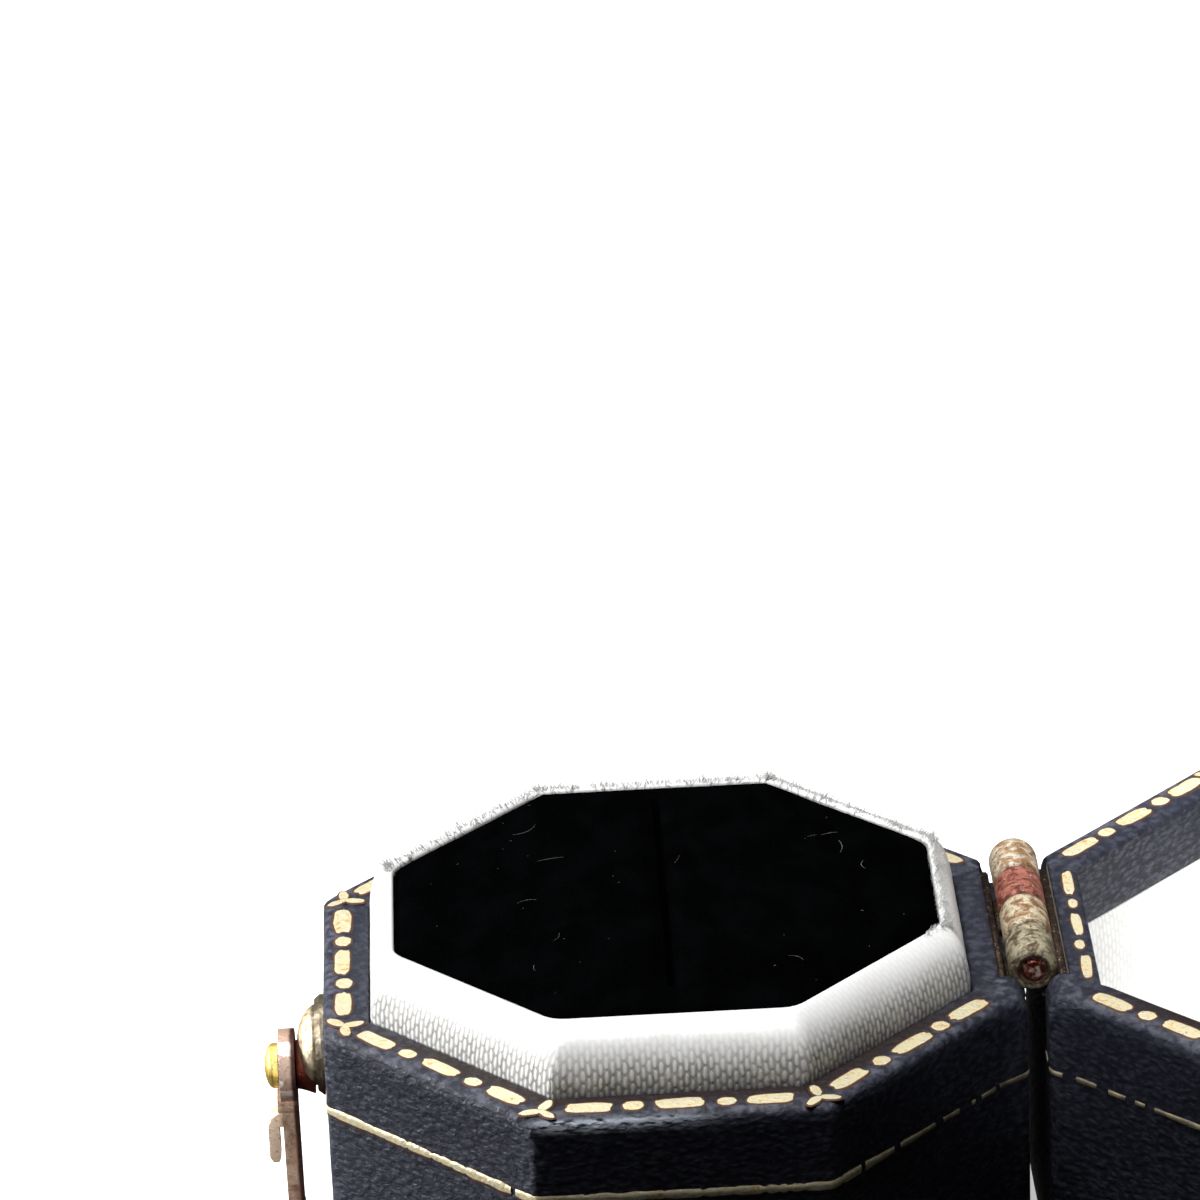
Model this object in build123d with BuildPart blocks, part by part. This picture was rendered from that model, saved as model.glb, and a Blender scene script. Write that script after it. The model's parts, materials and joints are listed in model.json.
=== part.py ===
"""An octagonal ring box, open flat: a leatherette-covered base and lid on a brass hinge, a satin collar
round a slit velvet ring pad, and a swing hook that holds a stud on the lid.

Millimetres, +Z up. The origin is the centre of the base's underside. +X runs from the base across the
hinge to the lid. The pieces are placed with the lid opened 180 degrees, beside the base.
"""

import os
from math import cos, pi, radians, sin, sqrt

from build123d import *

# --- driving dimensions ---------------------------------------------------------------------------
BOX_WIDTH = 42.0  # across flats, base and lid alike
HALF_HEIGHT = 21.0  # base, and lid, from rim to outer face
COVER = 0.4  # leatherette thickness
WALL = 2.05  # carcass wall thickness
FLOOR = 2.0  # carcass floor thickness
TURN_IN = 4.3  # depth of the leatherette turned in below the rim
RIM_ROUND = 0.6  # outer edge of the rim
RIM_INNER_ROUND = 0.3
CORNER_ROUND = 0.8  # upright corners
FACE_GAP = 0.05  # between a loose lining and the wall beside it

HINGE_GAP = 1.05  # hinge axis to each outer wall
CLOSING_GAP = 0.2  # between the two rims when shut
HINGE_Y = 1.7  # the hinge stands a little behind the middle of its wall
KNUCKLES = 4
KNUCKLE_PITCH = 3.75
KNUCKLE_GAP = 0.06
BARREL_RADIUS = 1.45
PIN_RADIUS = 0.75
PIN_CLEARANCE = 0.05
LEAF_THICKNESS = 0.6
LEAF_DEPTH = 5.4  # leaf's lower edge below the rim
LEAF_DROP = 0.8  # leaf's upper edge below the rim
WEB_HEIGHT = 0.65  # where a leaf rolls into its knuckles
NOTCH_DEPTH = 1.1
NOTCH_MARGIN = 0.4
NAIL_RADIUS = 0.4
NAIL_BITE = 1.1  # nail length in the wall
NAIL_HEAD_RADIUS = 0.75
NAIL_HEAD_HEIGHT = 0.3
NAIL_SPREAD = 4.5  # each nail's distance from the leaf's middle
NAIL_RISE = 2.0  # nails above the leaf's lower edge
SNUG = 0.02  # radial clearance of nails, rivet and stud in their holes

PIVOT_DROP = 6.9  # hook pivot below the base rim
HOOK_REACH = 11.5  # pivot to the middle of the hook's mouth
SHANK_RADIUS = 0.6  # rivet and stud
SHANK_SEAT = 1.8  # depth of the rivet and the stud in the wall
ROSETTE_DROP = 5.6  # rosette centre below the base rim
ROSETTE_RADIUS = 3.1
ROSETTE_HEIGHT = 1.9
BEAD_HEIGHT = 0.7  # raised edge round a rosette
BEAD_WIDTH = 0.55
CATCH_ROSETTE_RADIUS = 2.4
CATCH_ROSETTE_HEIGHT = 1.3
HOOK_START = 2.05  # the hook's inner face, from the wall
HOOK_THICKNESS = 1.0
HOOK_CLEARANCE = 0.06
EYE_RADIUS = 2.25
NECK_WIDTH = 1.7
TIP_WIDTH = 1.25
RIDGE_DROP = 2.3
RIDGE_WIDTH = 2.3
RIDGE_HEIGHT = 1.2
RIDGE_STEP = 0.25
THUMB_TOP = 2.9  # thumb piece, below the pivot
THUMB_LOW = 6.5
THUMB_REACH = 0.95
THUMB_THICKNESS = 0.7
THUMB_WIDTH = 1.2
MOUTH_RADIUS = 1.9
MOUTH_BORE = 0.9
RIVET_HEAD_START = 3.13
RIVET_HEAD_RADIUS = 1.4
RIVET_HEAD_HEIGHT = 0.85
STUD_HEAD_START = 3.3
STUD_HEAD_RADIUS = 1.3

COLLAR_RISE = 3.55  # collar above the rim
COLLAR_HALF_WIDTH = 18.1  # hem inside the base, centre to flats
COLLAR_HEM = 3.0  # hem below the rim
COLLAR_CARD_WIDTH = 35.0
COLLAR_CARD_RISE = 0.6
COLLAR_STEPS = ((0.0, 0.0), (0.24, 2.2), (0.86, COLLAR_RISE))  # share of the way in to the pad, and rise
SATIN = 0.4

PAD_HALF_X = 16.5
PAD_HALF_Y = 14.9
PAD_DIAGONAL = 15.6  # centre to the pad's slanting sides
PAD_RISE = 4.3  # crown of the velvet above the rim
PAD_RADIUS = 150.0  # curve of the crown
PAD_SKIRT = 4.0  # velvet below the rim
VELVET = 0.6
SLIT_WIDTH = 0.8
SLIT_LENGTH = 24.0
SLIT_DEPTH = 10.0  # below the rim
CARD = 0.8

LINING_BORE = 36.2  # lid lining across flats
LID_PAD_WIDTH = 35.9
LID_PAD_RISE = 3.6  # crown above its card
LID_PAD_RADIUS = 101.5
LID_PAD_ROUND = 0.8

FOIL = 0.05
GOLD_INSET = 1.27  # centreline of the rim tooling from the outer wall
HINGE_GOLD_INSET = 1.97  # the same on the lid's hinge side
DASH_LENGTH = 3.0
DASH_WIDTH = 1.1
DASH_ROUND = 0.35
DASH_PITCH = 5.4
DOT_LENGTH = 1.3
DOT_WIDTH = 1.05
PETAL_LENGTH = 1.3
PETAL_WIDTH = 0.6
PETAL_OFFSET = 0.55
SIDE_LINE_DROP = 5.3
SIDE_LINE_HEIGHT = 0.4

# --- worked out -----------------------------------------------------------------------------------
OUTER = BOX_WIDTH / 2
CARCASS_WIDTH = BOX_WIDTH - 2 * COVER
CAVITY_WIDTH = CARCASS_WIDTH - 2 * WALL
RIM_BORE = CAVITY_WIDTH - 2 * COVER
SHELL_LOW = COVER
FLOOR_TOP = COVER + FLOOR
CARD_TOP = FLOOR_TOP + CARD
RIM = HALF_HEIGHT
SHELL_TOP = RIM - COVER
TURN_IN_LOW = RIM - TURN_IN
AXIS_X = OUTER + HINGE_GAP
AXIS_Z = RIM + CLOSING_GAP / 2
BASE_X = 0.0
LID_X = 2 * AXIS_X
BARREL_LENGTH = KNUCKLES * KNUCKLE_PITCH
NOTCH_LENGTH = BARREL_LENGTH + 2 * NOTCH_MARGIN
LEAF_LOW = RIM - LEAF_DEPTH
LEAF_TOP = RIM - LEAF_DROP
NOTCH_LOW = LEAF_LOW - NOTCH_MARGIN
LEAF_FACE = OUTER - NOTCH_DEPTH + LEAF_THICKNESS  # leaf's outer face, from the half's centre
NAIL_Z = LEAF_LOW + NAIL_RISE
PIVOT_Z = RIM - PIVOT_DROP
ROSETTE_Z = RIM - ROSETTE_DROP
STUD_Z = 2 * AXIS_Z - (PIVOT_Z + HOOK_REACH)
COLLAR_TOP = RIM + COLLAR_RISE
CROWN_Z = RIM + PAD_RISE
SLIT_LOW = RIM - SLIT_DEPTH
LID_CROWN_Z = CARD_TOP + LID_PAD_RISE


# --- helpers --------------------------------------------------------------------------------------
def hinge_side(centre_x):
    """Direction from a half's centre to the hinge: +1 on the base, -1 on the lid."""
    return 1 if centre_x == BASE_X else -1


def octagon_block(across, low, high, centre_x=BASE_X, mode=Mode.ADD):
    """Upright octagonal block with flats facing +-X and +-Y."""
    with BuildSketch(Plane(origin=(centre_x, 0, low))) as outline:
        RegularPolygon(across / 2, 8, major_radius=False, rotation=22.5)
    extrude(outline.sketch, amount=high - low, mode=mode)


def collar_outline(share, grow):
    """Corners of the outline that lies a share of the way in from the hem to the pad's edge."""
    half_x = COLLAR_HALF_WIDTH + (PAD_HALF_X - COLLAR_HALF_WIDTH) * share + grow
    half_y = COLLAR_HALF_WIDTH + (PAD_HALF_Y - COLLAR_HALF_WIDTH) * share + grow
    slant = (COLLAR_HALF_WIDTH + (PAD_DIAGONAL - COLLAR_HALF_WIDTH) * share + grow) * sqrt(2)
    corners = [(half_x, slant - half_x), (slant - half_y, half_y)]
    corners += [(-x, y) for x, y in reversed(corners)]
    return corners + [(-x, -y) for x, y in corners]


def pad_block(grow, low, high, mode=Mode.ADD):
    """Upright block with the pad's outline, grown all round by a distance."""
    with BuildSketch(Plane(origin=(0, 0, low))) as outline:
        Polygon(*collar_outline(1, grow), align=None)
    extrude(outline.sketch, amount=high - low, mode=mode)


def collar_block(shrink):
    """The padded collar's outer form, shrunk by a skin thickness: an upright hem, then two slopes."""
    low = RIM - COLLAR_HEM
    with BuildPart() as block:
        faces = []
        for share, rise in COLLAR_STEPS:
            with BuildSketch(Plane(origin=(0, 0, RIM + rise - shrink))) as section:
                Polygon(*collar_outline(share, -shrink), align=None)
            faces.append(section.sketch.face())
        loft(faces, ruled=True)
        octagon_block(2 * (COLLAR_HALF_WIDTH - shrink), low, RIM - shrink)
    return block.part


def upright_box(length_x, length_y, low, high, x=0.0, y=0.0, mode=Mode.ADD):
    """Box between two heights."""
    with Locations((x, y, (low + high) / 2)):
        Box(length_x, length_y, high - low, mode=mode)


def crown(crown_z, radius, centre_x=BASE_X):
    """Trims the part to a shallow dome."""
    with Locations((centre_x, 0, crown_z - radius)):
        Sphere(radius, mode=Mode.INTERSECT)


def wall_plane(x, outward, y, z):
    """Plane through a wall point, its local x pointing out of the wall and its local y up."""
    return Plane(origin=(x, y, z), x_dir=(outward, 0, 0), z_dir=(0, -outward, 0))


def turned(plane, outline, mode=Mode.ADD):
    """Turned piece on a wall; the outline is a list of (height out of the wall, radius)."""
    with BuildSketch(plane) as profile:
        Polygon(*outline, align=None)
    revolve(profile.sketch, axis=Axis(plane.origin, plane.x_dir), mode=mode)


def hole(plane, depth, radius):
    """Blind hole into a wall."""
    turned(plane, [(-depth, 0), (-depth, radius), (1, radius), (1, 0)], Mode.SUBTRACT)


def dome_arc(start, radius, height):
    """Outline points of a dome, from its foot to its crown."""
    steps = [k * pi / 12 for k in range(6)]
    return [(start + height * sin(a), radius * cos(a)) for a in steps] + [(start + height, 0)]


def domed(start, radius, height):
    """Outline points of a domed head with a short upright side."""
    side = height * 0.35
    return [(start, radius)] + dome_arc(start + side, radius, height - side)


def leaf_nail_planes(centre_x):
    """Planes on the face of the hinge leaf where its two nails stand."""
    side = hinge_side(centre_x)
    x = centre_x + side * LEAF_FACE
    return [wall_plane(x, side, HINGE_Y + step, NAIL_Z) for step in (-NAIL_SPREAD, NAIL_SPREAD)]


def clasp_plane(centre_x):
    """Plane on the outer wall where the rivet (base) or the stud (lid) stands."""
    outward = -hinge_side(centre_x)
    z = PIVOT_Z if centre_x == BASE_X else STUD_Z
    return wall_plane(centre_x + outward * OUTER, outward, 0, z)


def fittings_cuts(centre_x):
    """Cuts the hinge recess, the nail holes and the rivet or stud hole out of a half."""
    x = centre_x + hinge_side(centre_x) * OUTER
    upright_box(2 * NOTCH_DEPTH, NOTCH_LENGTH, NOTCH_LOW, RIM + 1, x, HINGE_Y, Mode.SUBTRACT)
    for plane in leaf_nail_planes(centre_x):
        hole(plane, LEAF_THICKNESS + NAIL_BITE, NAIL_RADIUS + SNUG)
    hole(clasp_plane(centre_x), SHANK_SEAT, SHANK_RADIUS + SNUG)


# --- pieces that the two halves share -------------------------------------------------------------
def shell(centre_x):
    """Carcass of a half: eight walls and a floor."""
    with BuildPart() as carcass:
        octagon_block(CARCASS_WIDTH, SHELL_LOW, SHELL_TOP, centre_x)
        octagon_block(CAVITY_WIDTH, FLOOR_TOP, SHELL_TOP, centre_x, Mode.SUBTRACT)
        fittings_cuts(centre_x)
    return carcass.part


def cover(centre_x):
    """Leatherette wrapped round the walls, over the rim and down inside."""
    with BuildPart() as skin:
        octagon_block(BOX_WIDTH, SHELL_LOW, RIM, centre_x)
        fillet(skin.edges().filter_by(Axis.Z), CORNER_ROUND)
        fillet(skin.faces().sort_by(Axis.Z)[-1].edges(), RIM_ROUND)
        octagon_block(RIM_BORE, SHELL_LOW, RIM, centre_x, Mode.SUBTRACT)
        fillet(skin.faces().sort_by(Axis.Z)[-1].inner_wires()[0].edges(), RIM_INNER_ROUND)
        add(carcass_envelope(centre_x), mode=Mode.SUBTRACT)
        fittings_cuts(centre_x)
    return skin.part


def carcass_envelope(centre_x):
    """Room inside the leatherette: the whole width under the turned-in edge, the wall above."""
    with BuildPart() as room:
        octagon_block(CARCASS_WIDTH, SHELL_LOW, SHELL_TOP, centre_x)
        octagon_block(CAVITY_WIDTH, TURN_IN_LOW, SHELL_TOP, centre_x, Mode.SUBTRACT)
    return room.part


def outer_sheet(centre_x):
    """Leatherette sheet glued on the outer face."""
    with BuildPart() as sheet:
        octagon_block(BOX_WIDTH, 0, COVER, centre_x)
        fillet(sheet.edges().filter_by(Axis.Z), CORNER_ROUND)
        chamfer(sheet.faces().sort_by(Axis.Z)[0].edges(), COVER / 2)
    return sheet.part


def rim_tooling(centre_x):
    """Gold foil on the rim: three dashes and two dots to a side, three petals to a corner.

    The base's hinge side and the corners beside the hinge have worn bare.
    """
    reach = (OUTER - GOLD_INSET) / cos(radians(22.5))
    hinge_angle = 0 if centre_x == BASE_X else 180
    with BuildPart() as foil:
        with BuildSketch(Plane(origin=(centre_x, 0, RIM))):
            for angle in range(0, 360, 45):
                beside_hinge = angle == hinge_angle
                if beside_hinge and centre_x == BASE_X:
                    continue
                inset = HINGE_GOLD_INSET if beside_hinge else GOLD_INSET
                with PolarLocations(OUTER - inset, 1, start_angle=angle):
                    with Locations((0, -DASH_PITCH), (0, 0), (0, DASH_PITCH)):
                        RectangleRounded(DASH_WIDTH, DASH_LENGTH, DASH_ROUND)
                    with Locations((0, -DASH_PITCH / 2), (0, DASH_PITCH / 2)):
                        Ellipse(DOT_WIDTH / 2, DOT_LENGTH / 2)
            for step in range(1, 7):
                corner_angle = hinge_angle + 22.5 + 45 * step
                with PolarLocations(reach, 1, start_angle=corner_angle):
                    for turn in (180, 60, -60):
                        with PolarLocations(PETAL_OFFSET, 1, start_angle=turn):
                            Ellipse(PETAL_LENGTH / 2, PETAL_WIDTH / 2)
        extrude(amount=FOIL)
    return foil.part


def side_line(centre_x):
    """Gold foil line round a half's walls, broken at the hinge and at the clasp."""
    low = RIM - SIDE_LINE_DROP - SIDE_LINE_HEIGHT / 2
    high = low + SIDE_LINE_HEIGHT
    side = hinge_side(centre_x)
    rosette = ROSETTE_RADIUS if centre_x == BASE_X else CATCH_ROSETTE_RADIUS
    with BuildPart() as inside:
        octagon_block(BOX_WIDTH, low, high, centre_x)
        fillet(inside.edges().filter_by(Axis.Z), CORNER_ROUND)
    with BuildPart() as band:
        octagon_block(BOX_WIDTH + 2 * FOIL, low, high, centre_x)
        fillet(band.edges().filter_by(Axis.Z), CORNER_ROUND)
        add(inside.part, mode=Mode.SUBTRACT)
        upright_box(2, NOTCH_LENGTH, low, high, centre_x + side * OUTER, HINGE_Y, Mode.SUBTRACT)
        upright_box(2, 2 * rosette + FOIL, low, high, centre_x - side * OUTER, 0, Mode.SUBTRACT)
    return band.part


def hinge_leaf(centre_x):
    """Hinge leaf rolled into every second knuckle."""
    side = hinge_side(centre_x)
    first = 0 if centre_x == BASE_X else 1
    length = KNUCKLE_PITCH - KNUCKLE_GAP
    start = HINGE_Y - BARREL_LENGTH / 2 + KNUCKLE_PITCH / 2
    middles = [start + k * KNUCKLE_PITCH for k in range(first, KNUCKLES, 2)]
    web_x = centre_x + side * (LEAF_FACE + PIN_RADIUS / 2)
    with BuildPart() as leaf:
        leaf_x = centre_x + side * (LEAF_FACE - LEAF_THICKNESS / 2)
        upright_box(LEAF_THICKNESS, BARREL_LENGTH, LEAF_LOW, LEAF_TOP, leaf_x, HINGE_Y)
        for y in middles:
            upright_box(PIN_RADIUS + LEAF_THICKNESS, length, LEAF_TOP - WEB_HEIGHT, LEAF_TOP, web_x, y)
            with Locations(Location((AXIS_X, y, AXIS_Z), (90, 0, 0))):
                Cylinder(BARREL_RADIUS, length)
        with Locations(Location((AXIS_X, HINGE_Y, AXIS_Z), (90, 0, 0))):
            Cylinder(PIN_RADIUS + PIN_CLEARANCE, BARREL_LENGTH, mode=Mode.SUBTRACT)
        for plane in leaf_nail_planes(centre_x):
            hole(plane, LEAF_THICKNESS, NAIL_RADIUS + SNUG)
    return leaf.part


def hinge_nails(centre_x):
    """The two nails that hold a leaf."""
    end = -(LEAF_THICKNESS + NAIL_BITE)
    outline = [(end, 0), (end, NAIL_RADIUS), (0, NAIL_RADIUS)]
    with BuildPart() as nails:
        for plane in leaf_nail_planes(centre_x):
            turned(plane, outline + domed(0, NAIL_HEAD_RADIUS, NAIL_HEAD_HEIGHT))
    return nails.part


def rosette(centre_x, z, radius, height):
    """Domed brass rosette with a raised edge, and the rivet or stud hole through it."""
    outward = -hinge_side(centre_x)
    plane = wall_plane(centre_x + outward * OUTER, outward, 0, z)
    with BuildPart() as dome:
        inner = radius - BEAD_WIDTH
        edge = [(0, 0), (0, radius), (BEAD_HEIGHT / 2, radius), (BEAD_HEIGHT, radius - BEAD_WIDTH / 2)]
        edge += [(BEAD_HEIGHT, inner + BEAD_WIDTH / 4)]
        foot = BEAD_HEIGHT * 0.7
        turned(plane, edge + dome_arc(foot, inner, height - foot))
        through = clasp_plane(centre_x)
        bore = SHANK_RADIUS + SNUG
        turned(through, [(0, 0), (0, bore), (2 * height, bore), (2 * height, 0)], Mode.SUBTRACT)
    return dome.part


def headed_shank(centre_x, head_start, head_radius):
    """Rivet or stud: a shank set in the wall with a domed head."""
    outline = [(-SHANK_SEAT, 0), (-SHANK_SEAT, SHANK_RADIUS), (head_start, SHANK_RADIUS)]
    with BuildPart() as shank:
        turned(clasp_plane(centre_x), outline + domed(head_start, head_radius, RIVET_HEAD_HEIGHT))
    return shank.part


# --- base -----------------------------------------------------------------------------------------
def collar_card():
    """Card octagon that stands on the floor and carries the collar."""
    with BuildPart() as card:
        octagon_block(COLLAR_CARD_WIDTH, FLOOR_TOP, RIM + COLLAR_CARD_RISE)
        pad_block(SATIN + FACE_GAP, FLOOR_TOP, RIM + COLLAR_CARD_RISE, Mode.SUBTRACT)
    return card.part


def collar_wadding():
    """Wadding under the satin, on top of the card."""
    with BuildPart() as wadding:
        add(collar_block(SATIN))
        pad_block(SATIN + FACE_GAP, RIM - COLLAR_HEM, COLLAR_TOP, Mode.SUBTRACT)
        upright_box(BOX_WIDTH, BOX_WIDTH, RIM - COLLAR_HEM, RIM + COLLAR_CARD_RISE, mode=Mode.SUBTRACT)
    return wadding.part


def collar_satin():
    """Satin over the wadding, turned down inside and hemmed against the base wall."""
    with BuildPart() as satin:
        add(collar_block(0))
        pad_block(FACE_GAP, RIM - COLLAR_HEM, COLLAR_TOP, Mode.SUBTRACT)
        add(collar_wadding(), mode=Mode.SUBTRACT)
        add(collar_card(), mode=Mode.SUBTRACT)
    return satin.part


def pad_card():
    """Card under the foam."""
    with BuildPart() as card:
        pad_block(-VELVET, FLOOR_TOP, CARD_TOP)
    return card.part


def pad_foam():
    """Foam block with a deep slot for the ring's shank."""
    with BuildPart() as foam:
        pad_block(-VELVET, CARD_TOP, CROWN_Z)
        crown(CROWN_Z - VELVET, PAD_RADIUS - VELVET)
        slot_x = SLIT_WIDTH + 2 * VELVET
        slot_y = SLIT_LENGTH + 2 * VELVET
        upright_box(slot_x, slot_y, SLIT_LOW - VELVET, CROWN_Z, mode=Mode.SUBTRACT)
    return foam.part


def pad_velvet():
    """Velvet over the foam, down its sides and into the slot."""
    with BuildPart() as velvet:
        pad_block(0, RIM - PAD_SKIRT, CROWN_Z)
        slot_x = SLIT_WIDTH + 2 * VELVET
        slot_y = SLIT_LENGTH + 2 * VELVET
        upright_box(slot_x, slot_y, SLIT_LOW - VELVET, CROWN_Z)
        crown(CROWN_Z, PAD_RADIUS)
        add(pad_foam(), mode=Mode.SUBTRACT)
        upright_box(SLIT_WIDTH, SLIT_LENGTH, SLIT_LOW, CROWN_Z, mode=Mode.SUBTRACT)
    return velvet.part


def hinge_pin():
    """Pin through the knuckles."""
    with BuildPart() as pin:
        with Locations(Location((AXIS_X, HINGE_Y, AXIS_Z), (90, 0, 0))):
            Cylinder(PIN_RADIUS, BARREL_LENGTH)
        chamfer(pin.edges().filter_by(GeomType.CIRCLE), PIN_RADIUS / 4)
    return pin.part


# --- hook -----------------------------------------------------------------------------------------
def hook_plane(out, drop=0.0):
    """Plane parallel to the clasp wall: local x is +Y, local y is down, extrusion is out of the wall."""
    return Plane(origin=(-OUTER - out, 0, PIVOT_Z - drop), x_dir=(0, 1, 0), z_dir=(-1, 0, 0))


def thumb_outline():
    """Side outline of the thumb piece: out of the arm, then down clear of it, as (out, up) points."""
    face = HOOK_THICKNESS
    far = face + THUMB_REACH
    near = far - THUMB_THICKNESS
    root = THUMB_TOP + THUMB_THICKNESS * 1.6
    outer = [(face / 2, -THUMB_TOP), (face, -THUMB_TOP), (far - 0.25, -THUMB_TOP - 0.5)]
    outer += [(far, -THUMB_TOP - 1.1), (far, -THUMB_LOW + 0.35), (far - 0.2, -THUMB_LOW)]
    inner = [(near + 0.15, -THUMB_LOW), (near, -THUMB_LOW + 0.3), (near, -root), (face / 2, -root)]
    return outer + inner


def hook():
    """Swing hook: eye, ridged neck, thumb piece, arm, and a mouth that opens towards +Y."""
    with BuildPart() as arm:
        with BuildSketch(hook_plane(HOOK_START)):
            Circle(EYE_RADIUS)
            neck = NECK_WIDTH / 2
            tip = TIP_WIDTH / 2
            Polygon((-neck, 0), (neck, 0), (tip, HOOK_REACH - 1), (-tip, HOOK_REACH - 1), align=None)
            with Locations((0, HOOK_REACH)):
                Circle(MOUTH_RADIUS)
                Circle(MOUTH_BORE, mode=Mode.SUBTRACT)
            with Locations((MOUTH_RADIUS, HOOK_REACH)):
                Rectangle(2 * MOUTH_RADIUS, 2 * MOUTH_BORE, mode=Mode.SUBTRACT)
            Circle(SHANK_RADIUS + HOOK_CLEARANCE, mode=Mode.SUBTRACT)
        extrude(amount=HOOK_THICKNESS)
        with BuildSketch(hook_plane(HOOK_START, RIDGE_DROP)):
            RectangleRounded(RIDGE_WIDTH, RIDGE_HEIGHT, RIDGE_HEIGHT / 3)
        extrude(amount=HOOK_THICKNESS + RIDGE_STEP)
        with BuildSketch(Plane(origin=(-OUTER - HOOK_START, -THUMB_WIDTH / 2, PIVOT_Z), x_dir=(-1, 0, 0),
                               z_dir=(0, 1, 0))):
            Polygon(*thumb_outline(), align=None)
        extrude(amount=THUMB_WIDTH)
    return arm.part


# --- lid ------------------------------------------------------------------------------------------
def lid_lining():
    """Satin-faced card round the inside of the lid."""
    with BuildPart() as lining:
        octagon_block(CAVITY_WIDTH - 2 * FACE_GAP, FLOOR_TOP, TURN_IN_LOW, LID_X)
        octagon_block(LINING_BORE, FLOOR_TOP, TURN_IN_LOW, LID_X, Mode.SUBTRACT)
    return lining.part


def lid_pad_card():
    """Card under the lid's padding."""
    with BuildPart() as card:
        octagon_block(LID_PAD_WIDTH, FLOOR_TOP, CARD_TOP, LID_X)
    return card.part


def lid_pad_block(skin):
    """Domed pad, shrunk by a skin thickness."""
    with BuildPart() as block:
        octagon_block(LID_PAD_WIDTH - 2 * skin, CARD_TOP, LID_CROWN_Z, LID_X)
        crown(LID_CROWN_Z - skin, LID_PAD_RADIUS - skin, LID_X)
        top = block.faces().filter_by(GeomType.SPHERE)
        fillet(top.edges(), LID_PAD_ROUND - skin)
    return block.part


def lid_pad_satin():
    """Satin over the lid's padding."""
    with BuildPart() as satin:
        add(lid_pad_block(0))
        add(lid_pad_block(SATIN), mode=Mode.SUBTRACT)
    return satin.part


def write(name, part):
    """Labels a finished piece and writes its STEP file."""
    part.label = name
    export_step(part, f"parts/{name}.step")


def main():
    """Builds and writes every piece."""
    os.makedirs("parts", exist_ok=True)
    for half, centre_x in (("base", BASE_X), ("lid", LID_X)):
        write(f"{half}_shell", shell(centre_x))
        write(f"{half}_cover", cover(centre_x))
        write(f"{half}_rim_tooling", rim_tooling(centre_x))
        write(f"{half}_side_line", side_line(centre_x))
        write(f"hinge_leaf_{half}", hinge_leaf(centre_x))
        write(f"hinge_nails_{half}", hinge_nails(centre_x))
    write("base_bottom_sheet", outer_sheet(BASE_X))
    write("lid_top_sheet", outer_sheet(LID_X))
    write("collar_card", collar_card())
    write("collar_wadding", collar_wadding())
    write("collar_satin", collar_satin())
    write("pad_card", pad_card())
    write("pad_foam", pad_foam())
    write("pad_velvet", pad_velvet())
    write("hinge_pin", hinge_pin())
    write("hook_rosette", rosette(BASE_X, ROSETTE_Z, ROSETTE_RADIUS, ROSETTE_HEIGHT))
    write("hook_rivet", headed_shank(BASE_X, RIVET_HEAD_START, RIVET_HEAD_RADIUS))
    write("hook", hook())
    write("lid_lining", lid_lining())
    write("lid_pad_card", lid_pad_card())
    write("lid_pad_foam", lid_pad_block(SATIN))
    write("lid_pad_satin", lid_pad_satin())
    write("catch_rosette", rosette(LID_X, STUD_Z, CATCH_ROSETTE_RADIUS, CATCH_ROSETTE_HEIGHT))
    write("catch_stud", headed_shank(LID_X, STUD_HEAD_START, STUD_HEAD_RADIUS))


main()
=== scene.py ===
"""The looks of an octagonal leatherette ring box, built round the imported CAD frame."""

import json
import math
import random

import bmesh
import bpy
import numpy as np
from mathutils import Matrix, Vector, noise


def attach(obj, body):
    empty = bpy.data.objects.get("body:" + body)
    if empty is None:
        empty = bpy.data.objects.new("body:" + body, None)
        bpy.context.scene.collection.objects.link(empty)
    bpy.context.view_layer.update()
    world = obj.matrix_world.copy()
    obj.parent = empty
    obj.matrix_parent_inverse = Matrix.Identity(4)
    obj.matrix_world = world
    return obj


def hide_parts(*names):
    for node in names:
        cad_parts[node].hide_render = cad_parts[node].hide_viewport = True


MM = 0.001
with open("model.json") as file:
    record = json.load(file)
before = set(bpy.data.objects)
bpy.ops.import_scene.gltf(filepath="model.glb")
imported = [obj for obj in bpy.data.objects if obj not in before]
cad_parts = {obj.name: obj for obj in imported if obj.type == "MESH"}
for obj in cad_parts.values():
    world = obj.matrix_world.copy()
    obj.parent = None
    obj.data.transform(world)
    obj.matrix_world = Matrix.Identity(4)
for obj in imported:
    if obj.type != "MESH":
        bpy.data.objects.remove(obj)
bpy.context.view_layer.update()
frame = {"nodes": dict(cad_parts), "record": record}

# --- sizes in millimetres, as in the CAD ---
OUTER = 21.0  # from the middle to each flat wall
RIM = 21.0  # height of the rims
COVER = 0.4  # thickness of the leatherette
LID_X = 44.1  # the lid's middle when open flat
AXIS_X = 22.05
AXIS_Z = 21.1
HINGE_Y = 1.7
BARREL = 15.0  # length of the hinge's barrel
NOTCH_DEPTH = 1.1
NOTCH_LENGTH = 15.8
NOTCH_LOW = 15.2
PIVOT_Z = 14.1
ROSETTE_Z = 15.4
PAD_SIDES = (16.5, 15.6, 14.9, 15.6, 16.5, 15.6, 14.9, 15.6)
PAD_ROUND = 1.8
PAD_BRIM = 3.45  # the pad's edge above the rim
PAD_CROWN = 1.15
SLOT_END = 12.4  # from the middle to each end of the slot
COVER_INSIDE = 18.15  # from the middle to the turned-in leatherette
SWELL = 0.4  # how far the walls are puffed out beside the hinge

# --- the satin's weave, and seeds ---
SATIN_WHITE = (0.92, 0.915, 0.90)
FLOAT_PITCH = 0.36  # between the weave's columns
FLOAT_RUN = 0.85  # from one float to the next along a column
COVER_SEEDS = {"base": 3.1, "lid": 11.7}
TOOLING_SEEDS = {"base": 7, "lid": 19}
LINE_SEEDS = {"base": 5, "lid": 23}


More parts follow.
